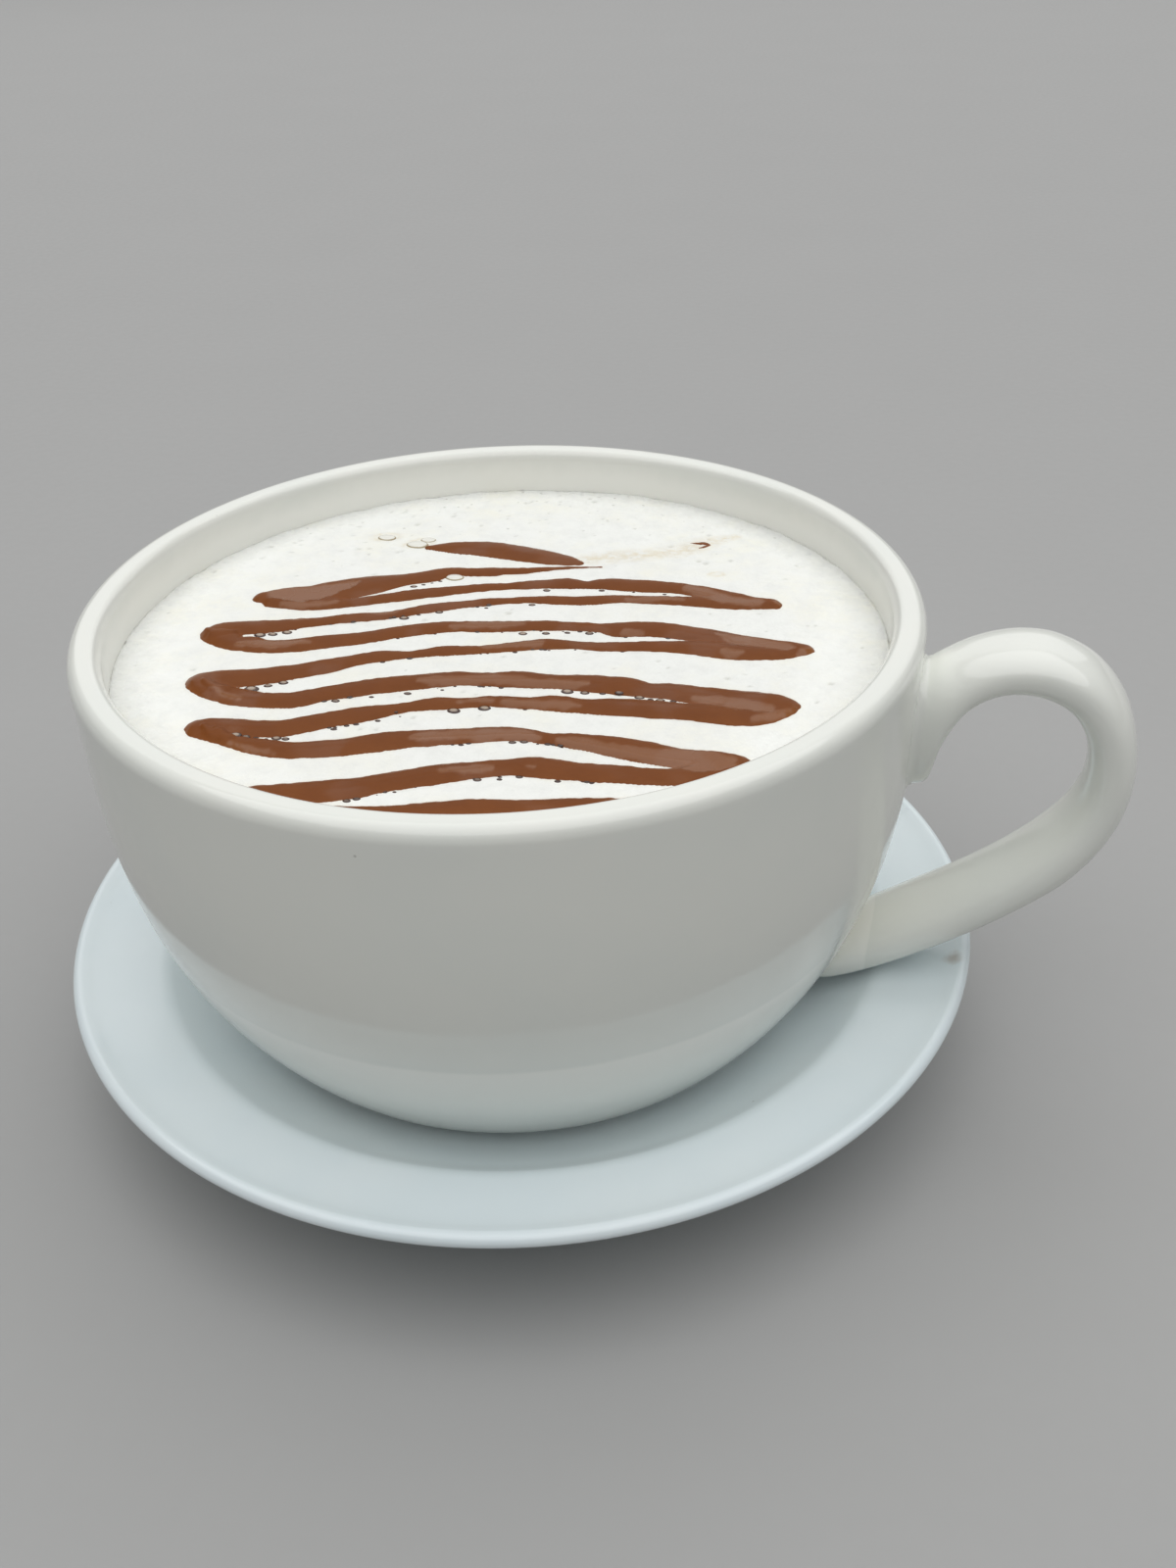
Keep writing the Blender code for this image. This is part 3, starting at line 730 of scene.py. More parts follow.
def make_piece(name, places, faces, material, slot, paint=None):
    """A smooth closed mesh from places in millimetres, with values painted on its points."""
    mesh = bpy.data.meshes.new(name)
    mesh.from_pydata((np.asarray(places) * MM).tolist(), [], faces)
    tidy = bmesh.new()
    tidy.from_mesh(mesh)
    bmesh.ops.recalc_face_normals(tidy, faces=tidy.faces)
    tidy.to_mesh(mesh)
    tidy.free()
    mesh.shade_smooth()
    for key, values in (paint or {}).items():
        mesh.attributes.new(key, "FLOAT", "POINT").data.foreach_set("value", np.asarray(values, np.float32))
    mesh.materials.append(material)
    piece = bpy.data.objects.new(name, mesh)
    bpy.context.scene.collection.objects.link(piece)
    return piece


def four_sided(*corners):
    """Faces from arrays that hold their first, second, third and fourth points."""
    return np.stack(corners, axis=-1).reshape(-1, 4).tolist()


def bands(rings, around, start=0):
    """Faces between rings of points that follow one another, each with the same number of points."""
    ring, step = np.meshgrid(np.arange(rings - 1), np.arange(around), indexing="ij")
    this, above, after = start + ring * around, start + (ring + 1) * around, (step + 1) % around
    return four_sided(this + step, this + after, above + after, above + step)


def fan(around, start, pole):
    """Faces from a ring of points to one point."""
    return [(start + step, start + (step + 1) % around, pole) for step in range(around)]


def turned(profile, axis):
    """Places and faces of a shape turned from a profile that starts and ends on the axis."""
    profile = np.asarray(profile, float)
    angles = np.linspace(0.0, math.tau, TURN_STEPS, endpoint=False)
    reach, height = profile[1:-1, 0], profile[1:-1, 1]
    rings = np.stack([
        axis[0] + np.outer(reach, np.cos(angles)),
        axis[1] + np.outer(reach, np.sin(angles)),
        np.repeat(height[:, None], TURN_STEPS, axis=1),
    ], axis=2).reshape(-1, 3)
    poles = [(axis[0], axis[1], profile[0, 1]), (axis[0], axis[1], profile[-1, 1])]
    faces = bands(len(reach), TURN_STEPS)
    faces += fan(TURN_STEPS, 0, len(rings)) + fan(TURN_STEPS, (len(reach) - 1) * TURN_STEPS, len(rings) + 1)
    return np.vstack([rings, poles]), faces


class CupShape:
    """The cup's walls in millimetres, heights from its foot."""

    def __init__(self, settings):
        self.rim = settings.rim_radius / MM
        self.height = settings.height / MM
        self.wall = settings.wall / MM
        self.lip_width = settings.lip_width / MM
        self.level = settings.drink_level / MM

    def outer(self, height):
        depth = np.maximum(0.0, BELLY_HEIGHT - height) / BELLY_HEIGHT
        return self.rim * (1.0 - BELLY_INSET * depth ** BELLY_POWER)

    def inner(self, height):
        taper = np.clip((height - self.level) / (self.height - LIP_INNER_ROUND[1] - self.level), 0.0, 1.0)
        return self.outer(height) - self.wall + (self.wall - self.lip_width) * taper

    def foam_radius(self):
        return float(self.inner(self.level))

    def bowl(self, inset):
        """The rounded corner between floor and inner wall, kept clear by the inset."""
        corner = BOWL_CORNER - inset
        middle = CUP_FLOOR + BOWL_CORNER
        return arc((self.inner(middle) - inset - corner, middle), corner, -90.0, -20.0, 12)

    def profile(self):
        lip, start = [], 180.0
        for (across, down), side in ((LIP_INNER_ROUND, -1.0), (LIP_OUTER_ROUND, 1.0)):
            edge = self.rim if side > 0.0 else self.rim - self.lip_width
            centre = (edge - side * across, self.height - down)
            lip += [(centre[0] + across * reach, centre[1] + down * height)
                    for reach, height in arc((0.0, 0.0), 1.0, start, start - 90.0, 12)]
            start -= 90.0
        rising = np.arange(INNER_WALL_FROM, lip[0][1] - 0.5, WALL_STEP)
        falling = np.arange(lip[-1][1] - WALL_STEP, OUTER_WALL_TO, -WALL_STEP)
        inside = [(self.inner(height), height) for height in rising]
        outside = [(self.outer(height), height) for height in falling]
        foot = rounded([
            (*outside[-1], 0.0),
            (self.outer(3.4), 3.4, 0.9),
            (self.outer(FOOT_HEIGHT) - 1.2, FOOT_HEIGHT, 0.8),
            (FOOT_RADIUS + 0.5, FOOT_HEIGHT - 0.4, 0.9),
            (FOOT_RADIUS - 0.1, 0.0, 0.5),
            (FOOT_RADIUS - FOOT_WIDTH, 0.0, 0.5),
            (FOOT_RADIUS - FOOT_WIDTH - 1.0, FOOT_HOLLOW, 0.7),
            (0.0, FOOT_HOLLOW, 0.0),
        ])
        return [(0.0, CUP_FLOOR)] + self.bowl(0.0) + inside + lip + outside + foot[1:]


def handle_mesh(shape):
    """Places and faces of the handle, its roots spread out where they meet the wall."""
    stations = smooth_line(HANDLE_STATIONS, HANDLE_STEP)
    angles = np.linspace(0.0, math.tau, HANDLE_AROUND, endpoint=False)
    across, side = (np.sign(part) * np.abs(part) ** (2.0 / HANDLE_SQUARENESS)
                    for part in (np.cos(angles), np.sin(angles)))

    outer, inner = stations[:, None, 0:2], stations[:, None, 2:4]
    middle, reach = (outer + inner) / 2.0, (outer - inner) / 2.0
    flat = middle + reach * across[None, :, None]
    share = (1.0 + across[None, :]) / 2.0
    width = stations[:, 4:5] * share + stations[:, 5:6] * (1.0 - share)
    places = np.stack([flat[..., 0], width * side[None, :], flat[..., 1]], axis=2)
    centres = np.stack([middle[..., 0], np.zeros_like(middle[..., 0]), middle[..., 1]], axis=2)

    gap = np.hypot(places[..., 0], places[..., 1]) - shape.outer(places[..., 2])
    near = np.clip(1.0 - gap / HANDLE_FLARE, 0.0, 1.0)
    spread = HANDLE_FLARE * (1.0 - np.sqrt(1.0 - near ** 2))
    away = places - centres
    spread = np.minimum(spread, LARGEST_FLARE)[..., None]
    places = (places + away / np.linalg.norm(away, axis=2, keepdims=True) * spread).reshape(-1, 3)
    faces = bands(len(stations), HANDLE_AROUND)
    faces += [list(range(HANDLE_AROUND)), list(range(len(places) - HANDLE_AROUND, len(places)))]
    return places + CUP_FOOT, faces


def joined(body, extra):
    """The body with the extra piece cut into it as one closed mesh."""
    union = body.modifiers.new("Join", "BOOLEAN")
    union.operation, union.solver, union.object = "UNION", "EXACT", extra
    bpy.context.view_layer.update()
    mesh = bpy.data.meshes.new_from_object(body.evaluated_get(bpy.context.evaluated_depsgraph_get()))
    body.modifiers.remove(union)
    body.data = mesh
    bpy.data.objects.remove(extra, do_unlink=True)
    mesh.shade_smooth()


def saucer_profile(settings):
    """The saucer from the middle of its well over the rim and back underneath."""
    edge = settings.edge_height / MM
    rim, side = ([(reach, edge + height, cut) for reach, height, cut in part]
                 for part in (SAUCER_RIM, SAUCER_SIDE))
    upper, lower = rounded([*WELL, *rim]), rounded([*side, *SAUCER_FOOT])
    bead = arc((settings.radius / MM - BEAD_RADIUS, edge + BEAD_RISE), BEAD_RADIUS, 117.0, -62.0, 18)
    return upper[:-1] + bead + lower[1:]


class Pour:
    """The poured sauce as a square of heights over the foam, in millimetres."""

    def __init__(self, thickness):
        self.thickness = thickness
        ticks = np.arange(-POUR_HALF, POUR_HALF + POUR_STEP / 2.0, POUR_STEP)
        self.count = len(ticks)
        self.along, self.away = np.meshgrid(ticks, ticks, indexing="ij")
        self.bubbles = self._place_bubbles()
        self.wet, self.flat = self._wetness()
        self.height = self._raise_lines()

    def _window(self, along, away, reach):
        """The part of the square within reach of a place."""
        low = [max(0, int((place + POUR_HALF - reach) / POUR_STEP)) for place in (along, away)]
        high = [min(self.count, int((place + POUR_HALF + reach) / POUR_STEP) + 2) for place in (along, away)]
        return slice(low[0], high[0]), slice(low[1], high[1])

    def _laid(self, line, crest=None):
        """Heights of one line of sauce, sloping on down outside its edge."""
        height = np.full(self.along.shape, UNDER)
        uneven = 0.09 * ripple(self.along, self.away, 0.9, 11)
        uneven += 0.05 * ripple(self.along, self.away, 0.45, 12)
        slow, quick = np.random.default_rng(len(line) * 31).uniform(0.0, math.tau, 2)
        travelled = 0.0
        for along, away, half in smooth_line(line, DRAW_SPACING):
            travelled += DRAW_SPACING
            half *= (1.0 + 0.035 * math.sin(travelled / 2.7 + slow)
                     + 0.012 * math.sin(travelled / 1.1 + quick))
            window = self._window(along, away, half + 1.2)
            apart = np.hypot(self.along[window] - along, self.away[window] - away) + uneven[window]
            top = crest or self.thickness * (1.0 - math.exp(-half / 1.5))
            share = np.maximum(apart, 0.0) / half
            drop = np.where(share < 1.0, top * (1.0 - share ** 2.4), 1.1 * (half - apart))
            height[window] = np.maximum(height[window], drop)
        return height

    def _wetness(self):
        """Where the sauce is wet and carries a painted sheen, and where it is broad enough to level itself
        out, from 0 to 1.
        """
        wet, flat = np.zeros((2, *self.along.shape))
        ragged = 0.3 * ripple(self.along, self.away, 1.5, 8) + 0.15 * ripple(self.along, self.away, 0.6, 9)
        for stroke in WET_AND_SHEEN_STROKES:
            for along, away, half in smooth_line(stroke, DRAW_SPACING):
                window = self._window(along, away, half + 0.9)
                apart = np.hypot(self.along[window] - along, self.away[window] - away) + ragged[window]
                cover = eased(apart, half + 0.25, half - 0.15)
                wet[window] = np.maximum(wet[window], cover)
                flat[window] = np.maximum(flat[window], cover * eased(half, 0.7, 1.2))
        return wet, flat

    def _raise_lines(self):
        """Heights of all the lines run together, levelled where they are wet, and rippled."""
        height = np.full(self.along.shape, UNDER)
        for line in POURED_LINES.values():
            laid = self._laid(line)
            merging = eased(np.minimum(height, laid), -0.05, 0.30)
            blend = np.maximum(LINE_BLEND - np.abs(height - laid), 0.0) * merging
            height = np.maximum(height, laid) + blend ** 2 / (4.0 * LINE_BLEND)
        level = WET_LEVEL * self.thickness
        height = np.where(height > level, height + (level - height) * self.flat, height)
        height += 0.05 * ripple(self.along, self.away, 3.1, 3) * (1.0 - 0.6 * self.flat)
        height += 0.012 * ripple(self.along, self.away, 0.8, 4) * (1.0 - self.flat)
        drawn_out = ripple(self.along / 2.6, self.away, 2.2, 5) * eased(height, 0.1, 0.5)
        height += 0.05 * drawn_out * (1.0 - 0.8 * self.flat)
        for curl in CURLS:
            ridge = self._laid([(along, away, 1.4 * half) for along, away, half in curl], crest=0.30)
            height += np.maximum(ridge, 0.0) * eased(height, 0.0, 0.25)
        return height

    def _place_bubbles(self):
        """Bubbles in their rows, and the small ones that bead the lines' near edges."""
        chance = np.random.default_rng(RNG_SEED)
        bubbles = []
        for first, last, count, largest in BUBBLE_ROWS:
            for share in np.linspace(0.0, 1.0, count) if count > 1 else (0.0,):
                size = largest * (1.0 if share == 0.0 or count < 3 else chance.uniform(0.45, 0.95))
                place = np.array(first) * (1.0 - share) + np.array(last) * share
                bubbles.append((*(place + chance.normal(0.0, 0.12, 2)), size))
        for name, low, high in BEADED_EDGES:
            for along, away, half in smooth_line(POURED_LINES[name], 1.0):
                if low < along < high and chance.random() < 0.22:
                    place = (along + chance.normal(0.0, 0.3), away - half - chance.uniform(-0.15, 0.3))
                    bubbles.append((*place, chance.uniform(0.16, 0.36)))
        return bubbles

    def over(self, along, away):
        """Heights of the sauce over given places on the foam."""
        column = np.clip((along + POUR_HALF) / POUR_STEP, 0.0, self.count - 1.001)
        row = np.clip((away + POUR_HALF) / POUR_STEP, 0.0, self.count - 1.001)
        left, low = column.astype(int), row.astype(int)
        right, up = column - left, row - low
        grid = self.height
        return ((grid[left, low] * (1.0 - right) + grid[left + 1, low] * right) * (1.0 - up)
                + (grid[left, low + 1] * (1.0 - right) + grid[left + 1, low + 1] * right) * up)


def foam_level(along, away, radius, crown):
    """The foam's height over its edge, without its fine texture."""
    reach = np.minimum(np.hypot(along, away) / radius, 1.0)
    waves = 0.15 * ripple(along, away, 14.0, 11) + 0.07 * ripple(along, away, 5.0, 12)
    level = crown * (1.0 - reach ** 8) + waves * (1.0 - reach ** 6)

    # Shallow dimples where a line of sauce turned back
    for line in POURED_LINES.values():
        for tip, before in ((line[0], line[1]), (line[-1], line[-2])):
            if math.hypot(*tip[:2]) > DIMPLED_BEYOND:
                ahead = np.subtract(tip[:2], before[:2])
                centre = np.array(tip[:2]) + ahead / np.linalg.norm(ahead) * (tip[2] + 2.5)
                apart = (along - centre[0]) ** 2 + (away - centre[1]) ** 2
                level = level - DIMPLE_DEPTH * np.exp(-apart / 7.0)
    return level


def turned_to_pour(x, y):
    """From the frame's directions to along and away."""
    return (x * math.cos(POUR_TURN) + y * math.sin(POUR_TURN),
            y * math.cos(POUR_TURN) - x * math.sin(POUR_TURN))


def turned_to_frame(along, away):
    """From along and away to the frame's directions."""
    return (along * math.cos(POUR_TURN) - away * math.sin(POUR_TURN),
            away * math.cos(POUR_TURN) + along * math.sin(POUR_TURN))


def disc_grid(count, radius):
    """A square net of places pulled out to fill a disc."""
    ticks = np.linspace(-1.0, 1.0, count)
    u, v = np.meshgrid(ticks, ticks, indexing="ij")
    wide = np.abs(u) > np.abs(v)
    reach = np.where(wide, u, v)
    safe = np.where(reach == 0.0, 1.0, reach)
    angle = np.where(wide, math.pi / 4.0 * v / safe, math.pi / 2.0 - math.pi / 4.0 * u / safe)
    return reach * np.cos(angle) * radius, reach * np.sin(angle) * radius


def foam_pits(count, radius):
    """Open bubbles in the foam, thickest at the far edge: along, away, radius."""
    chance = np.random.default_rng(RNG_SEED + 1)
    pits = []
    while len(pits) < count:
        angle, reach = chance.uniform(0.0, math.tau), radius * math.sqrt(chance.uniform(0.0, 1.0))
        along, away = reach * math.cos(angle), reach * math.sin(angle)
        far = max(0.0, away / radius) * reach / radius
        if chance.random() < 0.10 + 0.9 * far ** 2 and reach < radius - 1.5:
            pits.append((along, away, chance.uniform(0.14, 0.30) + 0.34 * chance.random() ** 4))
    return pits


def soaked_share(along, away, sauce):
    """How far the foam is stained: beside the sauce, where sauce soaked in, and round large bubbles."""
    soaked = 0.30 * eased(sauce, -0.40, -0.05)
    for spot_along, spot_away, half in smooth_line(STAINS, 0.4):
        apart = np.hypot(along - spot_along, away - spot_away) / half
        soaked = np.maximum(soaked, 0.75 * np.clip(1.0 - apart, 0.0, 1.0))
    for spot_along, spot_away, size in STAIN_RINGS:
        apart = np.hypot((along - spot_along) / 1.5, away - spot_away) / size
        soaked = np.maximum(soaked, 0.45 * np.exp(-((apart - 1.0) / 0.28) ** 2) + 0.16 * (apart < 1.0))
    return np.minimum(soaked, 1.0)


def foam_surface(radius, along, away, settings, pour):
    """Heights of the foam's net over its edge, and the values painted on it."""
    reach, round_wall = np.hypot(along, away), np.arctan2(away, along) * radius
    sauce = pour.over(along, away)
    height = foam_level(along, away, radius, settings.crown / MM) - PRESSED * eased(sauce, 0.0, 0.3)

    # The foam is puckered beside the wall and climbs it a little, unevenly
    puckers = ripple(round_wall, reach * 0.45, 1.25, 21) + 0.7 * ripple(round_wall, reach * 0.6, 0.7, 22)
    puckers *= eased(reach, radius - 10.0, radius - 3.0) * eased(reach, radius + 0.5, radius - 1.5)
    edge = np.clip((reach - (radius - 2.0)) / 2.0, 0.0, 1.0)
    height += PUCKERED * puckers
    height += (CLIMBING[0] + CLIMBING[1] * ripple(round_wall, np.zeros_like(reach), 2.6, 25)) * edge ** 3
    height += 0.030 * ripple(along, away, 1.3, 23) + 0.016 * ripple(along, away, 0.6, 24)

    pit = np.zeros_like(height)
    for spot_along, spot_away, size in foam_pits(settings.pits, radius):
        near = (np.abs(along - spot_along) < size + 0.4) & (np.abs(away - spot_away) < size + 0.4)
        apart = np.hypot(along[near] - spot_along, away[near] - spot_away) / size
        height[near] -= np.clip(1.0 - apart ** 2, 0.0, 1.0) * min(DEEPEST_PIT, size * PIT_DEPTH)
        pit[near] = np.maximum(pit[near], np.clip(1.35 - apart, 0.0, 1.0))

    # Painted shade beside the cup's wall, stronger on the left and in streaks: the value named thin is where
    # the wall shades the foam, and it also deepens the puckers' bump
    streaks = 0.5 + 0.5 * ripple(round_wall, reach * 0.25, 0.8, 27)
    thin = 0.25 + 0.35 * eased(-along / radius, 0.2, 0.9) + 0.4 * streaks
    thin = eased(reach, radius - 9.0, radius) * thin
    thin = np.maximum(thin, eased(reach + 0.7 * streaks, radius - 1.6, radius + 0.2))
    frothy = eased(away / radius, 0.15, 0.85) * eased(ripple(along, away, 4.0, 26), -0.6, 0.5)
    return height, {"pit": pit, "soaked": soaked_share(along, away, sauce), "frothy": frothy, "thin": thin}


def foam_mesh(shape, settings, pour):
    """Places, faces and painted values of the foam, in the cup's own millimetres."""
    radius = shape.foam_radius() - WALL_GAP
    x, y = disc_grid(FOAM_GRID, radius)
    height, paint = foam_surface(radius, *turned_to_pour(x, y), settings, pour)

    count = FOAM_GRID
    top = np.stack([x, y, shape.level + height], axis=2).reshape(-1, 3)
    row, column = np.meshgrid(np.arange(count - 1), np.arange(count - 1), indexing="ij")
    corner = row * count + column
    faces = four_sided(corner, corner + 1, corner + count + 1, corner + count)

    # Down the wall from the net's edge and round the bowl to the middle of the cup's floor
    last = count - 1
    rim = [i * count for i in range(last)] + [last * count + i for i in range(last)]
    rim += [(last - i) * count + last for i in range(last)] + [last - i for i in range(last)]
    directions = top[rim, 0:2] / np.linalg.norm(top[rim, 0:2], axis=1, keepdims=True)
    side = [(float(shape.inner(down)) - WALL_GAP, down) for down in np.linspace(*FOAM_SIDE)]
    side += list(reversed(shape.bowl(FLOOR_GAP)[::3]))
    places, ring, start = [top], np.array(rim), len(top)
    for out, down in side:
        places.append(np.column_stack([directions * out, np.full(len(rim), down)]))
        below = np.arange(start, start + len(rim))
        faces += four_sided(ring, np.roll(ring, -1), np.roll(below, -1), below)
        ring, start = below, start + len(rim)
    places = np.vstack([*places, [(0.0, 0.0, CUP_FLOOR + FLOOR_GAP)]])
    faces += fan(len(rim), start - len(rim), start)
    beyond = len(places) - len(top)
    return places, faces, {name: np.pad(values.reshape(-1), (0, beyond)) for name, values in paint.items()}


def sauce_mesh(shape, settings, foam, pour):
    """Places, faces and painted depth of the sauce, a closed skin whose edges dip into the foam."""
    level = shape.level + foam_level(pour.along, pour.away, shape.foam_radius(), foam.crown / MM)
    height = pour.height
    inside = height > SKIN_END
    cell = inside[:-1, :-1] | inside[1:, :-1] | inside[:-1, 1:] | inside[1:, 1:]
    count = pour.count
    used = np.zeros_like(inside)
    for right, up in ((0, 0), (1, 0), (0, 1), (1, 1)):
        used[right:count - 1 + right, up:count - 1 + up] |= cell
    number = np.full(used.shape, -1)
    number[used] = np.arange(used.sum())
    x, y = turned_to_frame(pour.along[used], pour.away[used])
    top = np.column_stack([x, y, level[used] + np.maximum(height[used], SKIN_END - 0.1)])
    bottom = np.column_stack([x, y, level[used] - SKIN_FLOOR])
    total = len(top)

    left, low = np.nonzero(cell)
    right, up = left + 1, low + 1
    quads = np.stack([number[left, low], number[right, low], number[right, up], number[left, up]], axis=1)
    faces = quads.tolist() + (quads[:, ::-1] + total).tolist()
    padded = np.pad(cell, 1)
    for side, first, second in (((0, -1), (0, 0), (1, 0)), ((1, 0), (1, 0), (1, 1)),
                                ((0, 1), (1, 1), (0, 1)), ((-1, 0), (0, 1), (0, 0))):
        open_side = ~padded[left + 1 + side[0], low + 1 + side[1]]
        start = number[left[open_side] + first[0], low[open_side] + first[1]]
        end = number[left[open_side] + second[0], low[open_side] + second[1]]
        faces += four_sided(start, start + total, end + total, end)
    depth = np.clip(height[used] / (settings.thickness / MM * 0.7), 0.0, 1.0)
    paint = {"depth": np.tile(depth, 2), "wet": np.tile(pour.wet[used], 2)}
    return np.vstack([top, bottom]), faces, paint


def bubble_mesh(shape, foam, pour):
    """Places, faces and painted rims of the low domes over the bubbles, each one closed."""
    turns = np.linspace(0.0, math.tau, BUBBLE_AROUND, endpoint=False)
    places, faces, rim, clear = [], [], [], []
    for along, away, size in pour.bubbles:
        x, y = turned_to_frame(along, away)
        level = shape.level + float(foam_level(along, away, shape.foam_radius(), foam.crown / MM))
        ground = level + max(0.0, float(pour.over(np.array(along), np.array(away))))
        start = len(places)
        for angle in np.radians(BUBBLE_RINGS):
            reach = size * math.cos(angle)
            height = ground - BUBBLE_SINK + size * BUBBLE_RISE * math.sin(angle)
            places += [(x + BUBBLE_LENGTH * reach * math.cos(turn), y + reach * math.sin(turn), height)
                       for turn in turns]
            edge = math.cos(angle) ** (2.0 if size < CLEAR_BUBBLE else 9.0)
            rim += [max(edge, 1.0 - size / SMALL_BUBBLE)] * BUBBLE_AROUND
        places += [(x, y, ground - BUBBLE_SINK + size * BUBBLE_RISE), (x, y, ground - BUBBLE_FLOOR)]
        rim += [max(0.0, 1.0 - size / SMALL_BUBBLE), 1.0]
        clear += [float(size > CLEAR_BUBBLE)] * (len(rim) - len(clear))
        crest, floor = len(places) - 2, len(places) - 1
        faces += bands(len(BUBBLE_RINGS), BUBBLE_AROUND, start)
        faces += fan(BUBBLE_AROUND, crest - BUBBLE_AROUND, crest) + fan(BUBBLE_AROUND, start, floor)
    return np.array(places), faces, {"rim": rim, "clear": clear}


# Operators, one for each piece

class LATTE_OT_cup(bpy.types.Operator):
    """Make the glazed cup with its handle"""
    bl_idname = "latte.make_cup"
    bl_label = "Cup"

    def execute(self, context):
        settings = context.scene.latte_cup
        shape = CupShape(settings)
        base = CUP_FOOT[2]
        specks = [(*turned_to_frame(along, away), base + height, size)
                  for along, away, height, size in SPECKS]
        material = glaze_finish(
            "cup glaze", CUP_AXIS, tuple(settings.glaze), (0.975, 0.985, 0.99), base + BARE_HEIGHT,
            tuple(settings.bare_clay), specks,
            film_and_painted_light=(shape.rim - shape.lip_width + FILM_AND_PAINTED_LIGHT_REACH, base + shape.level))
        places, faces = turned(shape.profile(), (0.0, 0.0))
        body = make_piece("cup_with_handle", places + CUP_FOOT, faces, material, "cup_glaze")
        joined(body, make_piece("handle", *handle_mesh(shape), material, None))
        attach(body, "root")
        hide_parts("cup")
        return {"FINISHED"}


class LATTE_OT_saucer(bpy.types.Operator):
    """Make the glazed saucer"""
    bl_idname = "latte.make_saucer"
    bl_label = "Saucer"

    def execute(self, context):
        settings = context.scene.latte_saucer
        material = glaze_finish(
            "saucer glaze", SAUCER_AXIS, tuple(settings.glaze), (0.96, 0.975, 0.985), BARE_HEIGHT,
            tuple(context.scene.latte_cup.bare_clay), smudge=SMUDGE)
        places, faces = turned(saucer_profile(settings), np.array(SAUCER_AXIS) / MM)
        saucer = make_piece("saucer_dish", places, faces, material, "saucer_glaze")
        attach(saucer, "root")
        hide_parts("saucer")
        return {"FINISHED"}


class LATTE_OT_foam(bpy.types.Operator):
    """Make the milk foam that fills the cup"""
    bl_idname = "latte.make_foam"
    bl_label = "Milk foam"

    def execute(self, context):
        scene = context.scene
        pour = Pour(scene.latte_sauce.thickness / MM)
        places, faces, paint = foam_mesh(CupShape(scene.latte_cup), scene.latte_foam, pour)
        material = foam_finish(scene.latte_foam)
        foam = make_piece("milk_foam", places + CUP_FOOT, faces, material, "milk_foam", paint)
        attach(foam, "root")
        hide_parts("latte")
        return {"FINISHED"}


class LATTE_OT_sauce(bpy.types.Operator):
    """Pour the chocolate sauce over the foam"""
    bl_idname = "latte.make_sauce"
    bl_label = "Chocolate sauce"

    def execute(self, context):
        scene = context.scene
        shape = CupShape(scene.latte_cup)
        pour = Pour(scene.latte_sauce.thickness / MM)
        places, faces, paint = sauce_mesh(shape, scene.latte_sauce, scene.latte_foam, pour)
        material = sauce_finish(scene.latte_sauce)
        sauce = make_piece("sauce_zigzag", places + CUP_FOOT, faces, material, "chocolate_sauce", paint)
        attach(sauce, "root")
        places, faces, paint = bubble_mesh(shape, scene.latte_foam, pour)
        material = bubble_finish(scene.latte_sauce)
        bubbles = make_piece("froth_bubbles", places + CUP_FOOT, faces, material, "milk_foam", paint)
        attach(bubbles, "root")
        return {"FINISHED"}


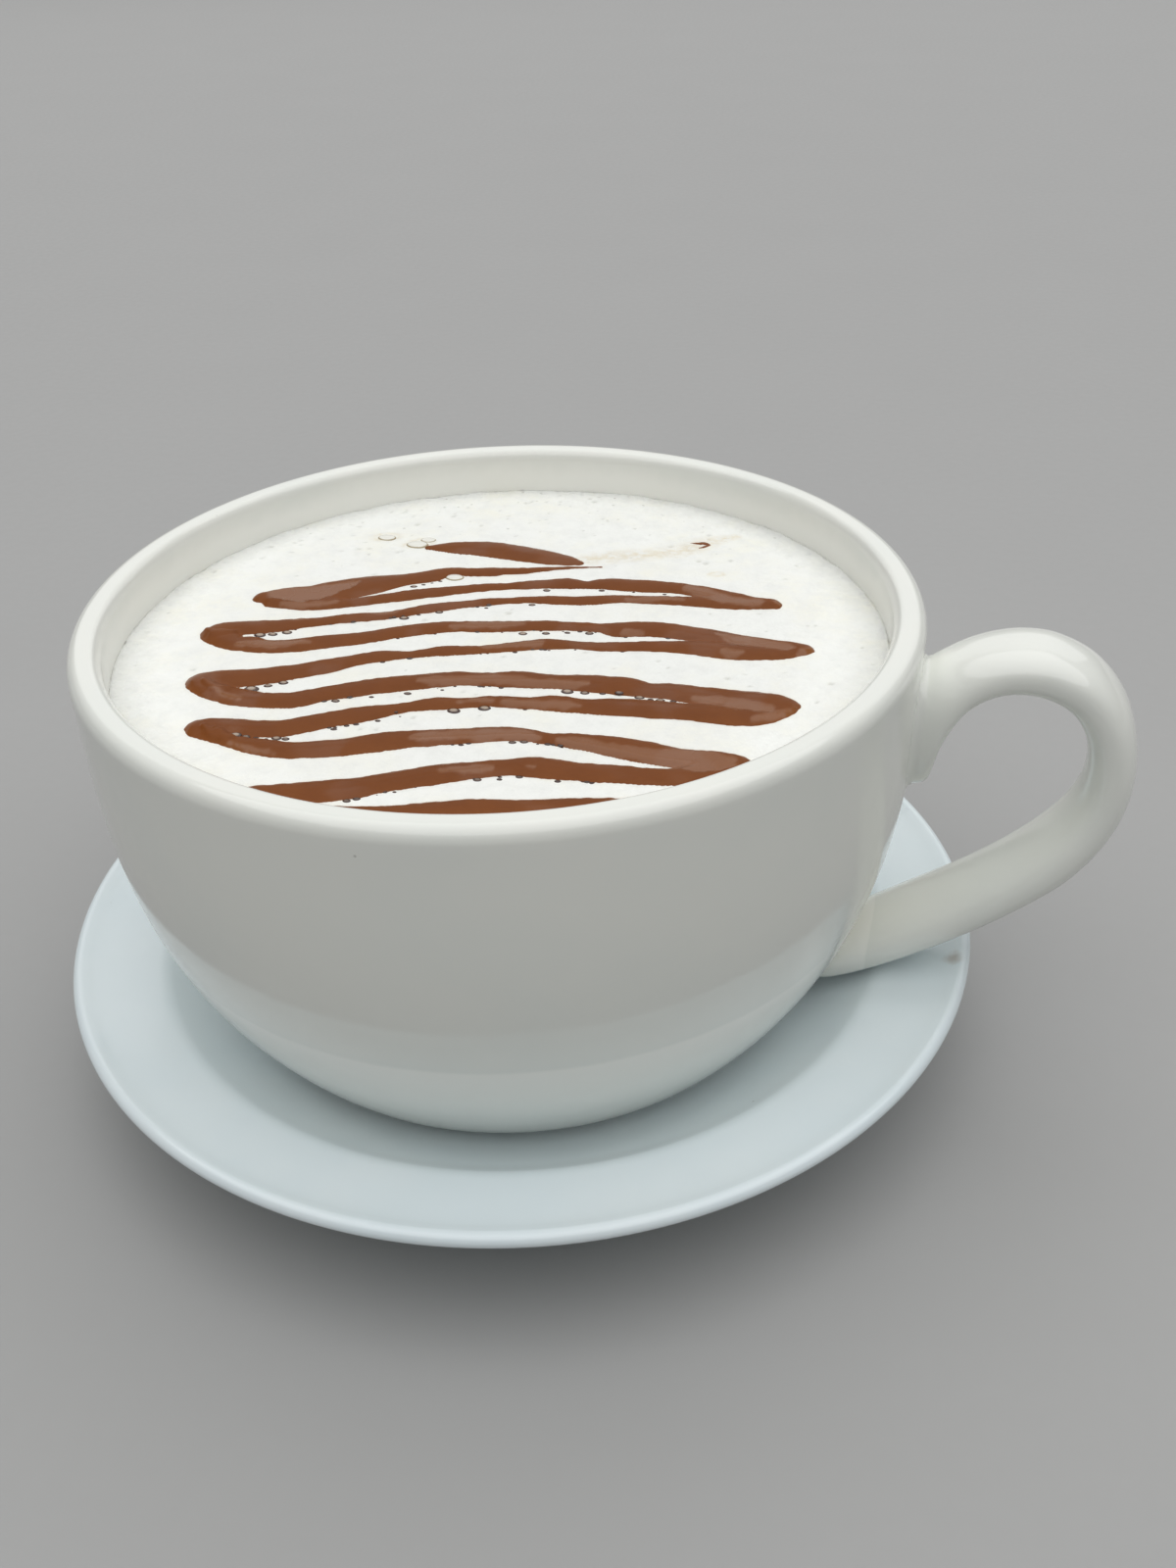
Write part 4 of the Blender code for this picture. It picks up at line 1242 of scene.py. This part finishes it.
class LATTE_OT_stage(bpy.types.Operator):
    """Set the floor, lights and camera"""
    bl_idname = "latte.set_stage"
    bl_label = "Stage"

    def execute(self, context):
        scene = context.scene
        settings = scene.latte_stage
        self.lay_floor(settings)
        self.hang_lights(scene, settings)
        self.place_camera(scene)
        scene.view_settings.view_transform = "Standard"
        return {"FINISHED"}

    def lay_floor(self, settings):
        half = FLOOR_HALF / MM
        places = [(-half, -half, 0.0), (half, -half, 0.0), (half, half, 0.0), (-half, half, 0.0)]
        floor = make_piece("floor", places, [(0, 1, 2, 3)], floor_finish(settings), None)

    def hang_lights(self, scene, settings):
        world = bpy.data.worlds.new("surroundings")
        world.use_nodes = True
        world.node_tree.nodes["Background"].inputs["Color"].default_value = (*settings.surroundings, 1.0)
        scene.world = world
        lamp = bpy.data.lights.new("soft overhead light", "SUN")
        lamp.energy = settings.overhead
        lamp.angle = settings.softness
        self.hang(scene, lamp, OVERHEAD_PLACE)
        lamp = bpy.data.lights.new("far panel", "AREA")
        lamp.shape = "RECTANGLE"
        lamp.size, lamp.size_y = PANEL_SIZE
        lamp.energy = settings.far_power
        self.hang(scene, lamp, PANEL_PLACE)

    def hang(self, scene, lamp, place):
        """Puts a light at a place, turned towards the cup."""
        light = bpy.data.objects.new(lamp.name, lamp)
        light.location = place
        towards = Vector((0.0, 0.0, LIT_HEIGHT)) - Vector(place)
        light.rotation_euler = towards.to_track_quat("-Z", "Y").to_euler()
        scene.collection.objects.link(light)

    def place_camera(self, scene):
        camera = bpy.data.objects.new("camera", bpy.data.cameras.new("camera"))
        camera.data.sensor_fit = "VERTICAL"
        camera.data.sensor_height = SENSOR_HEIGHT
        camera.data.lens = LENS
        camera.data.clip_start = 0.01
        turns = ((CAMERA_HEADING, "Z"), (90.0 - CAMERA_DOWN, "X"), (CAMERA_ROLL, "Z"))
        stand = Matrix.Translation(CAMERA_PLACE)
        for angle, about in turns:
            stand = stand @ Matrix.Rotation(math.radians(angle), 4, about)
        camera.matrix_world = stand
        scene.collection.objects.link(camera)
        scene.camera = camera


class LATTE_PT_panel(bpy.types.Panel):
    """Buttons and settings for the latte"""
    bl_idname = "LATTE_PT_panel"
    bl_label = "Latte"
    bl_space_type = "VIEW_3D"
    bl_region_type = "UI"
    bl_category = "Latte"

    def draw(self, context):
        for operator, group in STEPS:
            box = self.layout.box()
            box.operator(operator.bl_idname)
            settings = getattr(context.scene, group)
            for name in settings.__annotations__:
                box.prop(settings, name)


SETTINGS = {
    "latte_cup": LatteCupSettings,
    "latte_saucer": LatteSaucerSettings,
    "latte_foam": LatteFoamSettings,
    "latte_sauce": LatteSauceSettings,
    "latte_stage": LatteStageSettings,
}
STEPS = (
    (LATTE_OT_cup, "latte_cup"),
    (LATTE_OT_saucer, "latte_saucer"),
    (LATTE_OT_foam, "latte_foam"),
    (LATTE_OT_sauce, "latte_sauce"),
    (LATTE_OT_stage, "latte_stage"),
)
CLASSES = (*SETTINGS.values(), *(step[0] for step in STEPS), LATTE_PT_panel)


def register():
    for each in CLASSES:
        bpy.utils.register_class(each)
    for name, group in SETTINGS.items():
        setattr(bpy.types.Scene, name, bpy.props.PointerProperty(type=group))


def unregister():
    for name in SETTINGS:
        delattr(bpy.types.Scene, name)
    for each in reversed(CLASSES):
        bpy.utils.unregister_class(each)


def main():
    register()
    bpy.ops.latte.make_cup()
    bpy.ops.latte.make_saucer()
    bpy.ops.latte.make_foam()
    bpy.ops.latte.make_sauce()
    bpy.ops.latte.set_stage()


if __name__ == "__main__":
    main()
